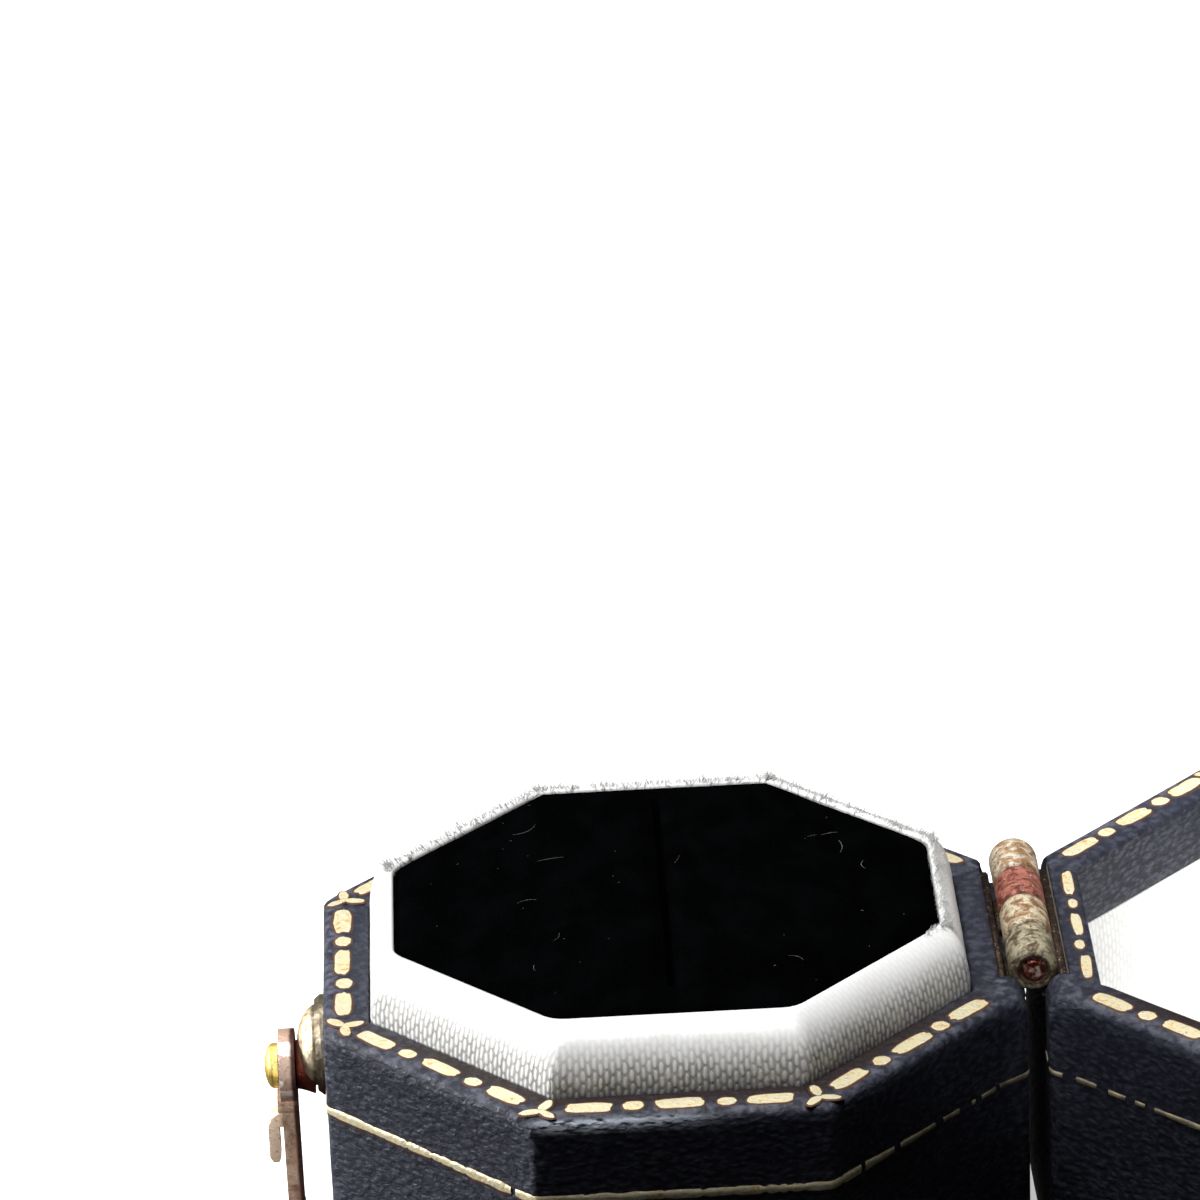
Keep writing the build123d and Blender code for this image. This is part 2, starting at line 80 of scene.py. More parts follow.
# --- node helpers ---
class Nodes:
    """A material's node tree, with short calls that each add a node and return its output."""

    def __init__(self, name):
        self.mat = bpy.data.materials.new(name)
        self.mat.use_nodes = True
        self.tree = self.mat.node_tree
        self.tree.nodes.clear()
        self.out = self.tree.nodes.new("ShaderNodeOutputMaterial")
        self.bsdf = self.tree.nodes.new("ShaderNodeBsdfPrincipled")
        self.tree.links.new(self.bsdf.outputs[0], self.out.inputs["Surface"])

    def put(self, socket, value):
        if isinstance(value, bpy.types.NodeSocket):
            self.tree.links.new(value, socket)
        elif isinstance(value, (tuple, list)) and len(value) == 3 and socket.type == "RGBA":
            socket.default_value = (*value, 1.0)
        else:
            socket.default_value = value

    def add(self, kind, inputs=None, **settings):
        node = self.tree.nodes.new(kind)
        for key, value in settings.items():
            setattr(node, key, value)
        for key, value in (inputs or {}).items():
            self.put(node.inputs[key], value)
        return node

    def coords(self, stretch=(1.0, 1.0, 1.0)):
        """Object coordinates in millimetres, squeezed or stretched."""
        texco = self.add("ShaderNodeTexCoord")
        scale = tuple(s / MM for s in stretch)
        return self.add("ShaderNodeMapping", {"Vector": texco.outputs["Object"], "Scale": scale}).outputs[0]

    def noise(self, vector, scale, detail=3.0, rough=0.5, distortion=0.0):
        inputs = {"Vector": vector, "Scale": scale, "Detail": detail, "Roughness": rough,
                  "Distortion": distortion}
        return self.add("ShaderNodeTexNoise", inputs).outputs["Fac"]

    def cells(self, vector, scale, out="Distance", **settings):
        return self.add("ShaderNodeTexVoronoi", {"Vector": vector, "Scale": scale}, **settings).outputs[out]

    def math(self, operation, a, b=0.0):
        return self.add("ShaderNodeMath", {0: a, 1: b}, operation=operation).outputs[0]

    def times(self, a, b):
        return self.math("MULTIPLY", a, b)

    def plus(self, a, b):
        return self.math("ADD", a, b)

    def minus(self, a, b):
        return self.math("SUBTRACT", a, b)

    def span(self, value, low, high, to_low=0.0, to_high=1.0):
        inputs = {"Value": value, "From Min": low, "From Max": high, "To Min": to_low, "To Max": to_high}
        return self.add("ShaderNodeMapRange", inputs, interpolation_type="SMOOTHSTEP").outputs[0]

    def ramp(self, value, stops, interpolation="LINEAR"):
        node = self.add("ShaderNodeValToRGB", {"Fac": value})
        node.color_ramp.interpolation = interpolation
        points = node.color_ramp.elements
        while len(points) < len(stops):
            points.new(0.5)
        for point, (place, color) in zip(points, stops):
            point.position = place
            point.color = (*color, 1.0)
        return node.outputs["Color"]

    def mix(self, factor, a, b):
        """Colour a where the factor is 0, b where it is 1."""
        return self.add("ShaderNodeMix", {0: factor, 6: a, 7: b}, data_type="RGBA").outputs[2]

    def xyz(self, vector):
        return self.add("ShaderNodeSeparateXYZ", {"Vector": vector}).outputs

    def attribute(self, name):
        return self.add("ShaderNodeAttribute", attribute_name=name).outputs["Fac"]

    def finish(self, color, rough, height=None, depth=0.05, strength=1.0, **sockets):
        """Plugs colour, roughness and bump in; depth is the bump's height in millimetres."""
        self.put(self.bsdf.inputs["Base Color"], color)
        self.put(self.bsdf.inputs["Roughness"], rough)
        for key, value in sockets.items():
            self.put(self.bsdf.inputs[key.replace("_", " ")], value)
        if height is not None:
            bump = self.add("ShaderNodeBump", {"Height": height, "Distance": depth * MM,
                                               "Strength": strength})
            self.put(self.bsdf.inputs["Normal"], bump.outputs[0])
        return self.mat


# --- materials ---
def leatherette(name):
    """Navy leatherette: fine wrinkled pebbles with painted highlights on the crests; attributes rub it pale,
    add a painted edge highlight and painted shade on the inner rim.
    """
    n = Nodes(name)
    wrinkled = n.coords((0.6, 0.6, 1.0))
    pebbles = n.cells(wrinkled, 3.0, feature="SMOOTH_F1")
    grain = n.noise(wrinkled, 3.4, 4.0, 0.62, 0.5)
    fine = n.noise(n.coords(), 9.0, 3.0)
    broad = n.noise(n.coords(), 0.22, 3.0)
    height = n.plus(n.times(grain, 1.2), n.times(pebbles, -0.9))
    height = n.plus(height, n.times(fine, 0.2))
    crest = n.span(height, 0.18, 0.60)
    # The crests are painted lighter: a painted highlight where the bumps catch the light.
    color = n.mix(crest, (0.015, 0.017, 0.028), (0.050, 0.054, 0.077))
    color = n.mix(n.times(n.span(broad, 0.35, 0.7), 0.4), color, (0.026, 0.029, 0.045))
    patchy = n.span(n.noise(n.coords(), 1.6, 4.0), 0.42, 0.66)
    color = n.mix(n.times(n.attribute("wear"), patchy), color, (0.12, 0.125, 0.16))
    # Dark brown on the inner half of the rim: painted shade beside the satin.
    color = n.mix(n.attribute("darkening"), color, (0.020, 0.010, 0.008))
    # Pale blue-white streaks on the base's front top edge: a painted highlight, broken up by noise.
    highlight_breakup = n.span(n.noise(n.coords((0.4, 1.0, 1.6)), 2.4, 4.0), 0.38, 0.50)
    color = n.mix(n.times(n.attribute("edge_highlight"), highlight_breakup), color, (0.62, 0.68, 0.78))
    rough = n.minus(0.58, n.times(crest, 0.14))
    return n.finish(color, rough, height, 0.10, Specular_IOR_Level=0.3)


def gold_foil(name):
    """Pressed gold foil, creased and thin at its edges, with the scorched line of the hot stamp."""
    n = Nodes(name)
    crumple = n.noise(n.coords(), 2.6, 5.0, 0.6, 0.6)
    broad = n.noise(n.coords(), 0.5, 2.0)
    metal = n.ramp(crumple, [(0.32, (0.74, 0.44, 0.17)), (0.43, (1.0, 0.84, 0.46)),
                             (0.62, (1.0, 0.95, 0.74))])
    metal = n.mix(n.times(n.span(broad, 0.4, 0.65), 0.6), metal, (1.0, 0.92, 0.64))
    scorch = n.span(n.plus(n.attribute("edge"), n.times(crumple, 0.35)), 0.78, 0.98)
    color = n.mix(scorch, metal, (0.085, 0.03, 0.012))
    color = n.mix(n.attribute("dull"), color, (0.12, 0.10, 0.085))
    rough = n.plus(n.span(crumple, 0.3, 0.7, 0.42, 0.26), n.times(scorch, 0.3))
    metallic = n.minus(0.4, n.times(scorch, 0.3))
    return n.finish(color, rough, crumple, 0.09, Metallic=metallic)


def satin(name):
    """Satin: staggered upright floats with painted shade in the gaps, faded by the shine attribute; the UV
    map is in millimetres.
    """
    n = Nodes(name)
    across, along, _ = n.xyz(n.add("ShaderNodeTexCoord").outputs["UV"])
    drift = n.times(n.noise(n.coords(), 0.7, 2.0), 0.3)
    column = n.math("DIVIDE", n.plus(across, drift), FLOAT_PITCH)
    number = n.math("FLOOR", column)
    jitter = n.add("ShaderNodeTexWhiteNoise", {"W": number}, noise_dimensions="1D").outputs["Value"]
    stagger = n.plus(n.times(number, 0.5), n.times(jitter, 0.22))
    run = n.plus(n.math("DIVIDE", n.plus(along, drift), FLOAT_RUN), stagger)
    aside = n.math("ABSOLUTE", n.minus(n.math("FRACT", column), 0.5))
    beyond = n.math("ABSOLUTE", n.minus(n.math("FRACT", run), 0.5))
    side_fall = n.math("POWER", n.times(aside, 2.0), 1.2)
    end_fall = n.math("POWER", n.times(beyond, 2.0), 4.0)
    height = n.math("MAXIMUM", n.minus(n.minus(1.0, side_fall), end_fall), 0.0)
    # The gaps between the floats are painted grey: painted shade in the weave's valleys.
    painted_gap_shade = n.minus(1.0, n.span(height, 0.15, 0.8))
    hazy = n.span(n.noise(n.coords(), 1.1, 3.0), 0.3, 0.7, 0.6, 1.0)
    # The shine attribute fades this painted shade, standing in for a highlight that washes it out.
    contrast = n.minus(1.0, n.times(n.attribute("shine"), 0.9))
    depth = n.times(n.times(painted_gap_shade, contrast), hazy)
    color = n.mix(depth, SATIN_WHITE, tuple(0.38 * c for c in SATIN_WHITE))
    thread = n.times(n.noise(n.coords(), 6.0, 3.0), 0.25)
    relief = n.plus(n.times(height, contrast), thread)
    return n.finish(color, 0.4, relief, 0.035, 0.8, Specular_IOR_Level=0.5, Sheen_Weight=0.2,
                    Sheen_Roughness=0.35)


def velvet(name):
    """Black velvet pile."""
    n = Nodes(name)
    pile = n.noise(n.coords(), 7.0, 4.0, 0.7)
    nap = n.noise(n.coords((1.0, 0.6, 1.0)), 0.4, 3.0, 0.5, 0.4)
    color = n.mix(n.span(nap, 0.35, 0.7), (0.0006, 0.0007, 0.0008), (0.0014, 0.0016, 0.0018))
    color = n.mix(n.span(pile, 0.5, 0.8), color, (0.003, 0.0034, 0.0038))
    return n.finish(color, 1.0, pile, 0.14, 1.0, Specular_IOR_Level=0.0)


def aged_brass(name, stops, scale=0.9):
    """Tarnished brass: patches of plating, copper and verdigris, pitted."""
    n = Nodes(name)
    patches = n.noise(n.coords(), scale, 5.0, 0.62, 0.4)
    pits = n.noise(n.coords(), 5.0, 4.0, 0.65)
    color = n.ramp(patches, stops)
    darkening = n.span(pits, 0.56, 0.68)
    color = n.mix(n.times(darkening, 0.7), color, (0.10, 0.045, 0.02))
    rough = n.plus(0.28, n.times(pits, 0.35))
    return n.finish(color, rough, pits, 0.06, Metallic=0.85)


def hinge_brass(name):
    """Each knuckle tarnished its own way, picked by the tone attribute; joints dark, leaves near black with
    painted shade, cream specks as painted glints.
    """
    n = Nodes(name)
    tone = n.attribute("tone")
    # Tone 0, on the leaves and webs, is near black: painted shade beside the barrel.
    clean = n.ramp(tone, [(0.0, (0.05, 0.028, 0.014)), (0.1, (0.98, 0.86, 0.68)), (0.3, (0.66, 0.25, 0.18)),
                          (0.5, (0.98, 0.86, 0.60)), (0.7, (0.62, 0.56, 0.38))], "CONSTANT")
    foul = n.ramp(tone, [(0.0, (0.015, 0.009, 0.006)), (0.1, (0.50, 0.28, 0.12)), (0.3, (0.20, 0.045, 0.03)),
                         (0.5, (0.40, 0.20, 0.09)), (0.7, (0.14, 0.10, 0.05))], "CONSTANT")
    patches = n.span(n.noise(n.coords(), 1.3, 5.0, 0.62, 0.5), 0.38, 0.6)
    pits = n.noise(n.coords(), 4.5, 4.0, 0.65)
    color = n.mix(patches, foul, clean)
    color = n.mix(n.times(n.span(pits, 0.56, 0.66), 0.75), color, (0.09, 0.03, 0.015))
    # Cream specks where the pits are lowest: painted glints.
    color = n.mix(n.span(pits, 0.37, 0.30), color, (0.95, 0.88, 0.75))
    joint = n.attribute("joint")
    color = n.mix(n.times(joint, n.span(pits, 0.3, 0.55, 1.0, 0.8)), color, (0.05, 0.012, 0.008))
    rough = n.plus(0.3, n.times(pits, 0.35))
    return n.finish(color, rough, n.plus(pits, patches), 0.07, Metallic=0.45)


def rosette_brass(name):
    """Clasp rosette: grey-brown raised edge, cream-gold dome, red-brown towards its foot."""
    n = Nodes(name)
    place = n.coords()
    x, y, z = n.xyz(place)
    rise = n.minus(z, ROSETTE_Z)
    radius = n.math("SQRT", n.plus(n.times(y, y), n.times(rise, rise)))
    smear = n.noise(place, 1.1, 4.0, 0.6, 0.4)
    pits = n.noise(place, 4.5, 4.0, 0.65)
    dome = n.ramp(smear, [(0.34, (0.42, 0.22, 0.10)), (0.46, (0.92, 0.74, 0.46)), (0.7, (1.0, 0.90, 0.70))])
    edge = n.ramp(smear, [(0.35, (0.10, 0.075, 0.05)), (0.55, (0.26, 0.22, 0.15)),
                          (0.75, (0.60, 0.54, 0.42))])
    color = n.mix(n.span(radius, 2.3, 2.5), dome, edge)
    # Red-brown lower down the dome, near the hook's eye.
    low = n.span(n.plus(rise, smear), -0.4, -1.5)
    color = n.mix(low, color, (0.11, 0.022, 0.014))
    crown = n.span(n.plus(x, n.times(smear, 0.4)), -22.0, -22.6)
    color = n.mix(n.times(crown, 0.7), color, (0.34, 0.20, 0.12))
    color = n.mix(n.times(n.span(pits, 0.58, 0.68), 0.6), color, (0.12, 0.06, 0.03))
    rough = n.plus(0.28, n.times(pits, 0.3))
    return n.finish(color, rough, pits, 0.06, Metallic=0.75)


def hook_brass(name):
    """Hook: pinkish facets at the eye, tan lower down, and painted shade, dark red-brown, on the side towards
    the wall.
    """
    n = Nodes(name)
    place = n.coords()
    x, _, z = n.xyz(place)
    facets = n.cells(n.coords((0.4, 0.9, 1.0)), 1.1, "Color", distance="CHEBYCHEV")
    facet = n.span(n.xyz(facets)[0], 0.35, 0.6)
    smear = n.noise(place, 0.9, 4.0, 0.6, 0.5)
    pits = n.noise(place, 4.5, 4.0, 0.65)
    eye = n.mix(facet, (0.60, 0.40, 0.30), (0.98, 0.90, 0.82))
    arm = n.ramp(smear, [(0.35, (0.30, 0.16, 0.10)), (0.5, (0.62, 0.40, 0.28)), (0.7, (0.85, 0.62, 0.46))])
    color = n.mix(n.span(n.plus(z, n.times(smear, 2.0)), 13.3, 14.6), arm, eye)
    lobe = n.times(n.span(x, -24.0, -24.3), n.span(z, 12.2, 11.2))
    color = n.mix(lobe, color, (1.0, 0.76, 0.55))
    # Dark red-brown on the side towards the wall: painted shade.
    inner = n.span(n.plus(x, n.times(smear, 0.3)), -23.28, -23.05)
    color = n.mix(inner, color, (0.055, 0.014, 0.009))
    color = n.mix(n.times(n.span(pits, 0.58, 0.68), 0.6), color, (0.12, 0.05, 0.03))
    rough = n.plus(0.3, n.times(pits, 0.3))
    return n.finish(color, rough, n.plus(pits, n.times(facet, 0.5)), 0.08, Metallic=0.35)


def board(name, tint):
    """Grey board or foam: fibre noise."""
    n = Nodes(name)
    fibre = n.noise(n.coords((1.0, 0.4, 1.0)), 2.5, 5.0, 0.7)
    color = n.mix(fibre, tuple(0.75 * c for c in tint), tint)
    return n.finish(color, 0.9, fibre, 0.08)


# --- stage ---
def link(item):
    bpy.context.scene.collection.objects.link(item)


def camera():
    """The photograph's viewpoint: looking along +Y, 25 degrees down, rolled slightly."""
    azimuth, elevation, roll = (math.radians(angle) for angle in (-0.8, 25.01, -2.61))
    target = Vector((-2.34, 50.44, RIM)) * MM
    distance = 456.67 * MM
    back = Vector((math.sin(azimuth) * math.cos(elevation), -math.cos(azimuth) * math.cos(elevation),
                   math.sin(elevation)))
    right = (-back).cross(Vector((0, 0, 1))).normalized()
    up = right.cross(-back)
    x_axis = right * math.cos(roll) + up * math.sin(roll)
    y_axis = up * math.cos(roll) - right * math.sin(roll)
    data = bpy.data.cameras.new("camera")
    data.sensor_width = 36.0
    data.lens = 201.6
    data.clip_start = 0.01
    item = bpy.data.objects.new("camera", data)
    rotation = Matrix((x_axis, y_axis, back)).transposed().to_4x4()
    item.matrix_world = Matrix.Translation(target + back * distance) @ rotation
    link(item)
    bpy.context.scene.camera = item


def light(name, kind, place, aim, power):
    """Light of a kind, turned from its place towards its aim; places are in metres."""
    data = bpy.data.lights.new(name, kind)
    data.energy = power
    item = bpy.data.objects.new(name, data)
    item.location = place
    item.rotation_euler = (Vector(aim) - Vector(place)).to_track_quat("-Z", "Y").to_euler()
    link(item)
    return data


def area_light(name, place, aim, size, power):
    """Round soft light."""
    data = light(name, "AREA", place, aim, power)
    data.shape = "DISK"
    data.size = size


def beam(name, place, aim, angle, power):
    """Narrow soft beam on one place."""
    data = light(name, "SPOT", place, aim, power)
    data.spot_size = math.radians(angle)
    data.spot_blend = 1.0
    data.shadow_soft_size = 0.01


def sky():
    """Sky that is bright behind and to the left, and dim elsewhere."""
    world = bpy.data.worlds.new("world")
    world.use_nodes = True
    tree = world.node_tree
    direction = tree.nodes.new("ShaderNodeTexCoord").outputs["Generated"]
    bright = tree.nodes.new("ShaderNodeVectorMath")
    bright.operation = "DOT_PRODUCT"
    bright.inputs[1].default_value = (-0.55, 0.75, 0.37)
    tree.links.new(direction, bright.inputs[0])
    span = tree.nodes.new("ShaderNodeMapRange")
    span.interpolation_type = "SMOOTHSTEP"
    for key, value in (("From Min", -0.1), ("From Max", 0.9), ("To Min", 0.30), ("To Max", 1.8)):
        span.inputs[key].default_value = value
    tree.links.new(bright.outputs["Value"], span.inputs["Value"])
    tree.links.new(span.outputs[0], tree.nodes["Background"].inputs["Strength"])
    bpy.context.scene.world = world


def floor():
    """White paper that glows a little and throws no light on the box."""
    reach = 4.0
    mesh = bpy.data.meshes.new("floor")
    corners = [(-reach, -reach, 0), (reach, -reach, 0), (reach, reach, 0), (-reach, reach, 0)]
    mesh.from_pydata(corners, [], [(0, 1, 2, 3)])
    item = bpy.data.objects.new("floor", mesh)
    link(item)
    n = Nodes("floor")
    speck = n.noise(n.coords(), 0.4, 3.0)
    paper = n.mix(speck, (0.86, 0.86, 0.86), (0.9, 0.9, 0.9))
    mesh.materials.append(n.finish(paper, 0.9, Emission_Color=(1.0, 1.0, 1.0), Emission_Strength=0.5))
    item.visible_diffuse = False
    item.visible_glossy = False


def stage():
    """Sky, floor, a key from the left, a top light, and a beam on each fitting and inside the lid."""
    sky()
    floor()
    area_light("key", (-0.6, 0.18, 0.13), (0.0, 0, 0.015), 0.14, 6.0)
    area_light("top", (-0.08, 0.0, 0.6), (0.0, 0, 0.02), 0.3, 4.2)
    beam("clasp", (-0.06, -0.3, 0.06), (-0.0275, 0.0, 0.011), 4.0, 3.6)
    beam("hinge_end", (0.015, -0.3, 0.12), (0.022, -0.006, 0.0225), 2.0, 3.6)
    beam("lid_inside", (0.044, -0.3, 0.35), (0.044, 0.014, 0.012), 5.5, 16.0)


# --- mesh helpers ---
def outline(sides, bevel, per_side=24, per_corner=4):
    """Rounded octagon, as (x, y) points in millimetres: sides are the distances of its eight flats."""
    if isinstance(sides, (int, float)):
        sides = (sides,) * 8
    arcs = []
    for k in range(8):
        a, b = math.radians(45 * k), math.radians(45 * (k + 1))
        near, far = sides[k] - bevel, sides[(k + 1) % 8] - bevel
        x = (near * math.sin(b) - far * math.sin(a)) / math.sin(b - a)
        y = (far * math.cos(a) - near * math.cos(b)) / math.sin(b - a)
        turn = [a + (b - a) * j / per_corner for j in range(per_corner + 1)]
        arcs.append([(x + bevel * math.cos(t), y + bevel * math.sin(t)) for t in turn])
    points = []
    for k in range(8):
        points += arcs[k]
        (x0, y0), (x1, y1) = arcs[k][-1], arcs[(k + 1) % 8][0]
        points += [(x0 + (x1 - x0) * j / per_side, y0 + (y1 - y0) * j / per_side) for j in range(1, per_side)]
    return points


def placed(name, mesh, body, material):
    """Object of one material, riding on a body."""
    item = bpy.data.objects.new(name, mesh)
    mesh.materials.append(material)
    link(item)
    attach(item, body)
    return item


def make(name, verts, faces, body, material, uvs=None, attributes=None):
    """Smooth object from points in millimetres, riding on a body."""
    mesh = bpy.data.meshes.new(name)
    mesh.from_pydata([tuple(c * MM for c in v) for v in verts], [], faces)
    mesh.polygons.foreach_set("use_smooth", [True] * len(mesh.polygons))
    if uvs:
        layer = mesh.uv_layers.new(name="UVMap")
        for loop in mesh.loops:
            layer.data[loop.index].uv = uvs[loop.vertex_index]
    for key, values in (attributes or {}).items():
        mesh.attributes.new(key, "FLOAT", "POINT").data.foreach_set("value", values)
    mesh.update()
    return placed(name, mesh, body, material)


def from_bmesh(name, bm, body, material):
    """Object from a bmesh in metres, riding on a body."""
    mesh = bpy.data.meshes.new(name)
    bm.to_mesh(mesh)
    bm.free()
    return placed(name, mesh, body, material)


def skin(count, total, start=0, closed=False):
    """Faces between a number of rings of count points each; the first ring begins at point start."""
    faces = []
    for ring in range(total if closed else total - 1):
        near = start + ring * count
        far = start + (ring + 1) % total * count
        faces += [(near + i, near + (i + 1) % count, far + (i + 1) % count, far + i) for i in range(count)]
    return faces


def loft(rings, closed=False):
    """Skins rings of (sides, bevel, z); returns points, faces, and each point's depth down the skin."""
    verts, depths = [], []
    depth = 0.0
    last = None
    for sides, bevel, z in rings:
        points = outline(sides, bevel)
        first = (*points[0], z)
        if last is not None:
            depth += math.dist(first, last)
        last = first
        verts += [(x, y, z) for x, y in points]
        depths += [depth] * len(points)
    return verts, skin(len(verts) // len(rings), len(rings), closed=closed), depths


def ripple(p, size, seed=0.0):
    """Smooth noise from -1 to 1 at a point in millimetres."""
    return noise.noise(Vector((p[0] / size + seed, p[1] / size - seed, p[2] / size + 2 * seed)))


def apply_modifier(item, kind, **settings):
    """Adds a modifier and applies it."""
    modifier = item.modifiers.new(kind, kind)
    for key, value in settings.items():
        setattr(modifier, key, value)
    bpy.context.view_layer.objects.active = item
    bpy.ops.object.modifier_apply(modifier=modifier.name)


def cut_box(item, low, high):
    """Cuts the box between two corners, in millimetres, out of an item."""
    bpy.ops.mesh.primitive_cube_add(size=1.0)
    box = bpy.context.active_object
    box.scale = [(h - l) * MM for l, h in zip(low, high)]
    box.location = [(h + l) / 2 * MM for l, h in zip(low, high)]
    bpy.context.view_layer.update()
    apply_modifier(item, "BOOLEAN", object=box, operation="DIFFERENCE", solver="EXACT")
    bpy.data.objects.remove(box, do_unlink=True)


def hinge_side(half):
    """1 if a half's hinge is on its +X side, -1 if on its -X side."""
    return 1 if half == "base" else -1


def centre_x(half):
    return 0.0 if half == "base" else LID_X


def smooth(value, low, high):
    """0 below low, 1 above high, eased in between."""
    t = min(1.0, max(0.0, (value - low) / (high - low)))
    return t * t * (3 - 2 * t)


def swollen(x, z, half):
    """Moves a point of the walls out where the leatherette is lapped and puffed beside the hinge."""
    side = hinge_side(half)
    near_hinge = smooth(x * side, OUTER - 1.4, OUTER - 0.2)
    return x + side * SWELL * near_hinge * (1 - smooth(z, RIM - 0.9, RIM - 0.2))


def side_uvs(item, centre, depths):
    """UVs in millimetres for the skin of an octagonal loft: along each flat, and down its slope."""
    layer = item.data.uv_layers.new(name="UVMap")
    points = item.data.vertices
    for face in item.data.polygons:
        middle = face.center / MM
        index = round(math.atan2(middle.y, middle.x - centre) / math.radians(45))
        angle = math.radians(45 * index)
        for loop in face.loop_indices:
            vertex = item.data.loops[loop].vertex_index
            x, y = points[vertex].co.x / MM - centre, points[vertex].co.y / MM
            along = y * math.cos(angle) - x * math.sin(angle)
            layer.data[loop].uv = (along + 60.0 * index, depths[vertex])


# --- leatherette covers ---
def bell(offset, width):
    """1 at no offset, falling away over the width."""
    return math.exp(-(offset / width) ** 2)


def corner_angle(x, y):
    """Degrees round the octagon from its nearest corner."""
    return math.degrees(math.atan2(y, x)) % 45 - 22.5


WALL_RINGS = 27
WALL_BEVEL = 0.8
FOLD_RINGS = 5
FOLD = 0.6
LIP = 0.3
RIM_INSETS = (1.0, 1.4, 1.8, 2.2)
INSIDE_HEIGHTS = (19.9, 19.0, 18.0, 17.2, 16.7)
RIM_START = WALL_RINGS + FOLD_RINGS
INSIDE_START = RIM_START + len(RIM_INSETS) + FOLD_RINGS
SHOWN_RINGS = INSIDE_START + len(INSIDE_HEIGHTS) - 1


def cover_profile():
    """Rings of the cover from the foot of the wall, over the rim, inside and back behind the skin."""
    rings = [(OUTER, WALL_BEVEL, COVER + 0.75 * k) for k in range(WALL_RINGS)]
    rings += [(OUTER - FOLD + FOLD * math.cos(a), 0.75, RIM - FOLD + FOLD * math.sin(a))
              for a in (math.radians(18 * k) for k in range(1, FOLD_RINGS + 1))]
    rings += [(OUTER - inset, 0.6, RIM) for inset in RIM_INSETS]
    rings += [(COVER_INSIDE + LIP - LIP * math.sin(a), 0.5, RIM - LIP + LIP * math.cos(a))
              for a in (math.radians(22.5 * k) for k in range(FOLD_RINGS))]
    rings += [(COVER_INSIDE, 0.4, z) for z in INSIDE_HEIGHTS]
    rings += [(COVER_INSIDE + COVER, 0.3, z) for z in (16.7, 18.5, RIM - COVER)]
    rings += [(OUTER - COVER, 0.5, z) for z in (RIM - COVER, 14.0, 7.0, COVER)]
    return rings


def rubbed(x, y, top, ring, corner, half):
    """How far the leatherette is rubbed pale, from 0 to 1: on the outer fold, corners and notch ends."""
    rub = 0.3 * corner * top
    if WALL_RINGS - 2 <= ring <= RIM_START:
        rub = max(rub, 0.85 * top * (1 - min(1.0, abs(math.hypot(x, y) - OUTER) / 1.2) * 0.4))
    if ring < RIM_START + 2:
        rub = max(rub, 0.5 * corner)
    notch_end = bell(abs(y - HINGE_Y) - NOTCH_LENGTH / 2 - 0.35, 0.4)
    return max(rub, notch_end * smooth(x * hinge_side(half), OUTER - 2.1, OUTER - 1.4) * top)


def painted_edge_highlight(x, y, z):
    """Where the base's front top edge gets a painted blue-white highlight, from 0 to 1."""
    along = smooth(x, -8.8, -8.0) * (1 - smooth(x, -4.5, 4.0))
    up = smooth(z, RIM - 1.1, RIM - 0.8) * (1 - smooth(z, RIM - 0.3, RIM - 0.05))
    return along * up * smooth(-y, OUTER - 1.0, OUTER - 0.6)


def painted_rim_shade(ring, y):
    """How dark the painted shade is on the inner half of the rim and its lip, beside the satin: full at the
    front, none at the back.
    """
    if not RIM_START <= ring < INSIDE_START:
        return 0.0
    by_inset = (0.0, 0.25, 0.7, 0.9)
    return by_inset[min(ring - RIM_START, 3)] * smooth(-y, 6.0, 13.0)


def uneven(point, ring, half):
    """Point of the cover's shown skin moved a little, and how rubbed it is."""
    x, y, z = point
    seed = COVER_SEEDS[half]
    top = max(0.0, 1.0 - abs(z - RIM) / 0.5)
    off_corner = corner_angle(x, y)
    if ring < RIM_START or ring >= INSIDE_START:
        lift = 0.035 * ripple(point, 4.5, seed) + 0.018 * ripple(point, 1.5, seed)
        x *= 1 + lift / OUTER
        y *= 1 + lift / OUTER
    z += 0.03 * ripple((x, y, z), 3.0, seed + 5) * top
    z -= 0.10 * bell(off_corner, 0.8) * top
    rub = rubbed(x, y, top, ring, bell(off_corner, 2.2), half)
    return (swollen(x, z, half), y, z), rub


def cover(half):
    """Leatherette: uneven, creased where it is mitred at the rim's corners, notched at the hinge."""
    verts, faces, _ = loft(cover_profile(), closed=True)
    count = len(outline(OUTER, WALL_BEVEL))
    shaped, wear, edge_highlight, darkening = [], [], [], []
    for index, point in enumerate(verts):
        ring = index // count
        rub = 0.0
        if ring < SHOWN_RINGS:
            point, rub = uneven(point, ring, half)
        x, y, z = point
        shaped.append((x + centre_x(half), y, z))
        wear.append(rub)
        # The base's front top edge gets a painted highlight.
        edge_highlight.append(painted_edge_highlight(x, y, z) if half == "base" else 0.0)
        # Painted shade on the inner rim, beside the satin.
        darkening.append(painted_rim_shade(ring, y))
    item = make(f"{half}_leatherette", shaped, [f[::-1] for f in faces], half, LEATHER,
                attributes={"wear": wear, "edge_highlight": edge_highlight, "darkening": darkening})
    bm = bmesh.new()
    bm.from_mesh(item.data)
    bmesh.ops.recalc_face_normals(bm, faces=bm.faces)
    bm.to_mesh(item.data)
    bm.free()
    edge = centre_x(half) + hinge_side(half) * OUTER
    cut_box(item, (edge - NOTCH_DEPTH, HINGE_Y - NOTCH_LENGTH / 2, NOTCH_LOW),
            (edge + NOTCH_DEPTH, HINGE_Y + NOTCH_LENGTH / 2, RIM + 2))
    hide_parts(f"{half}_cover")


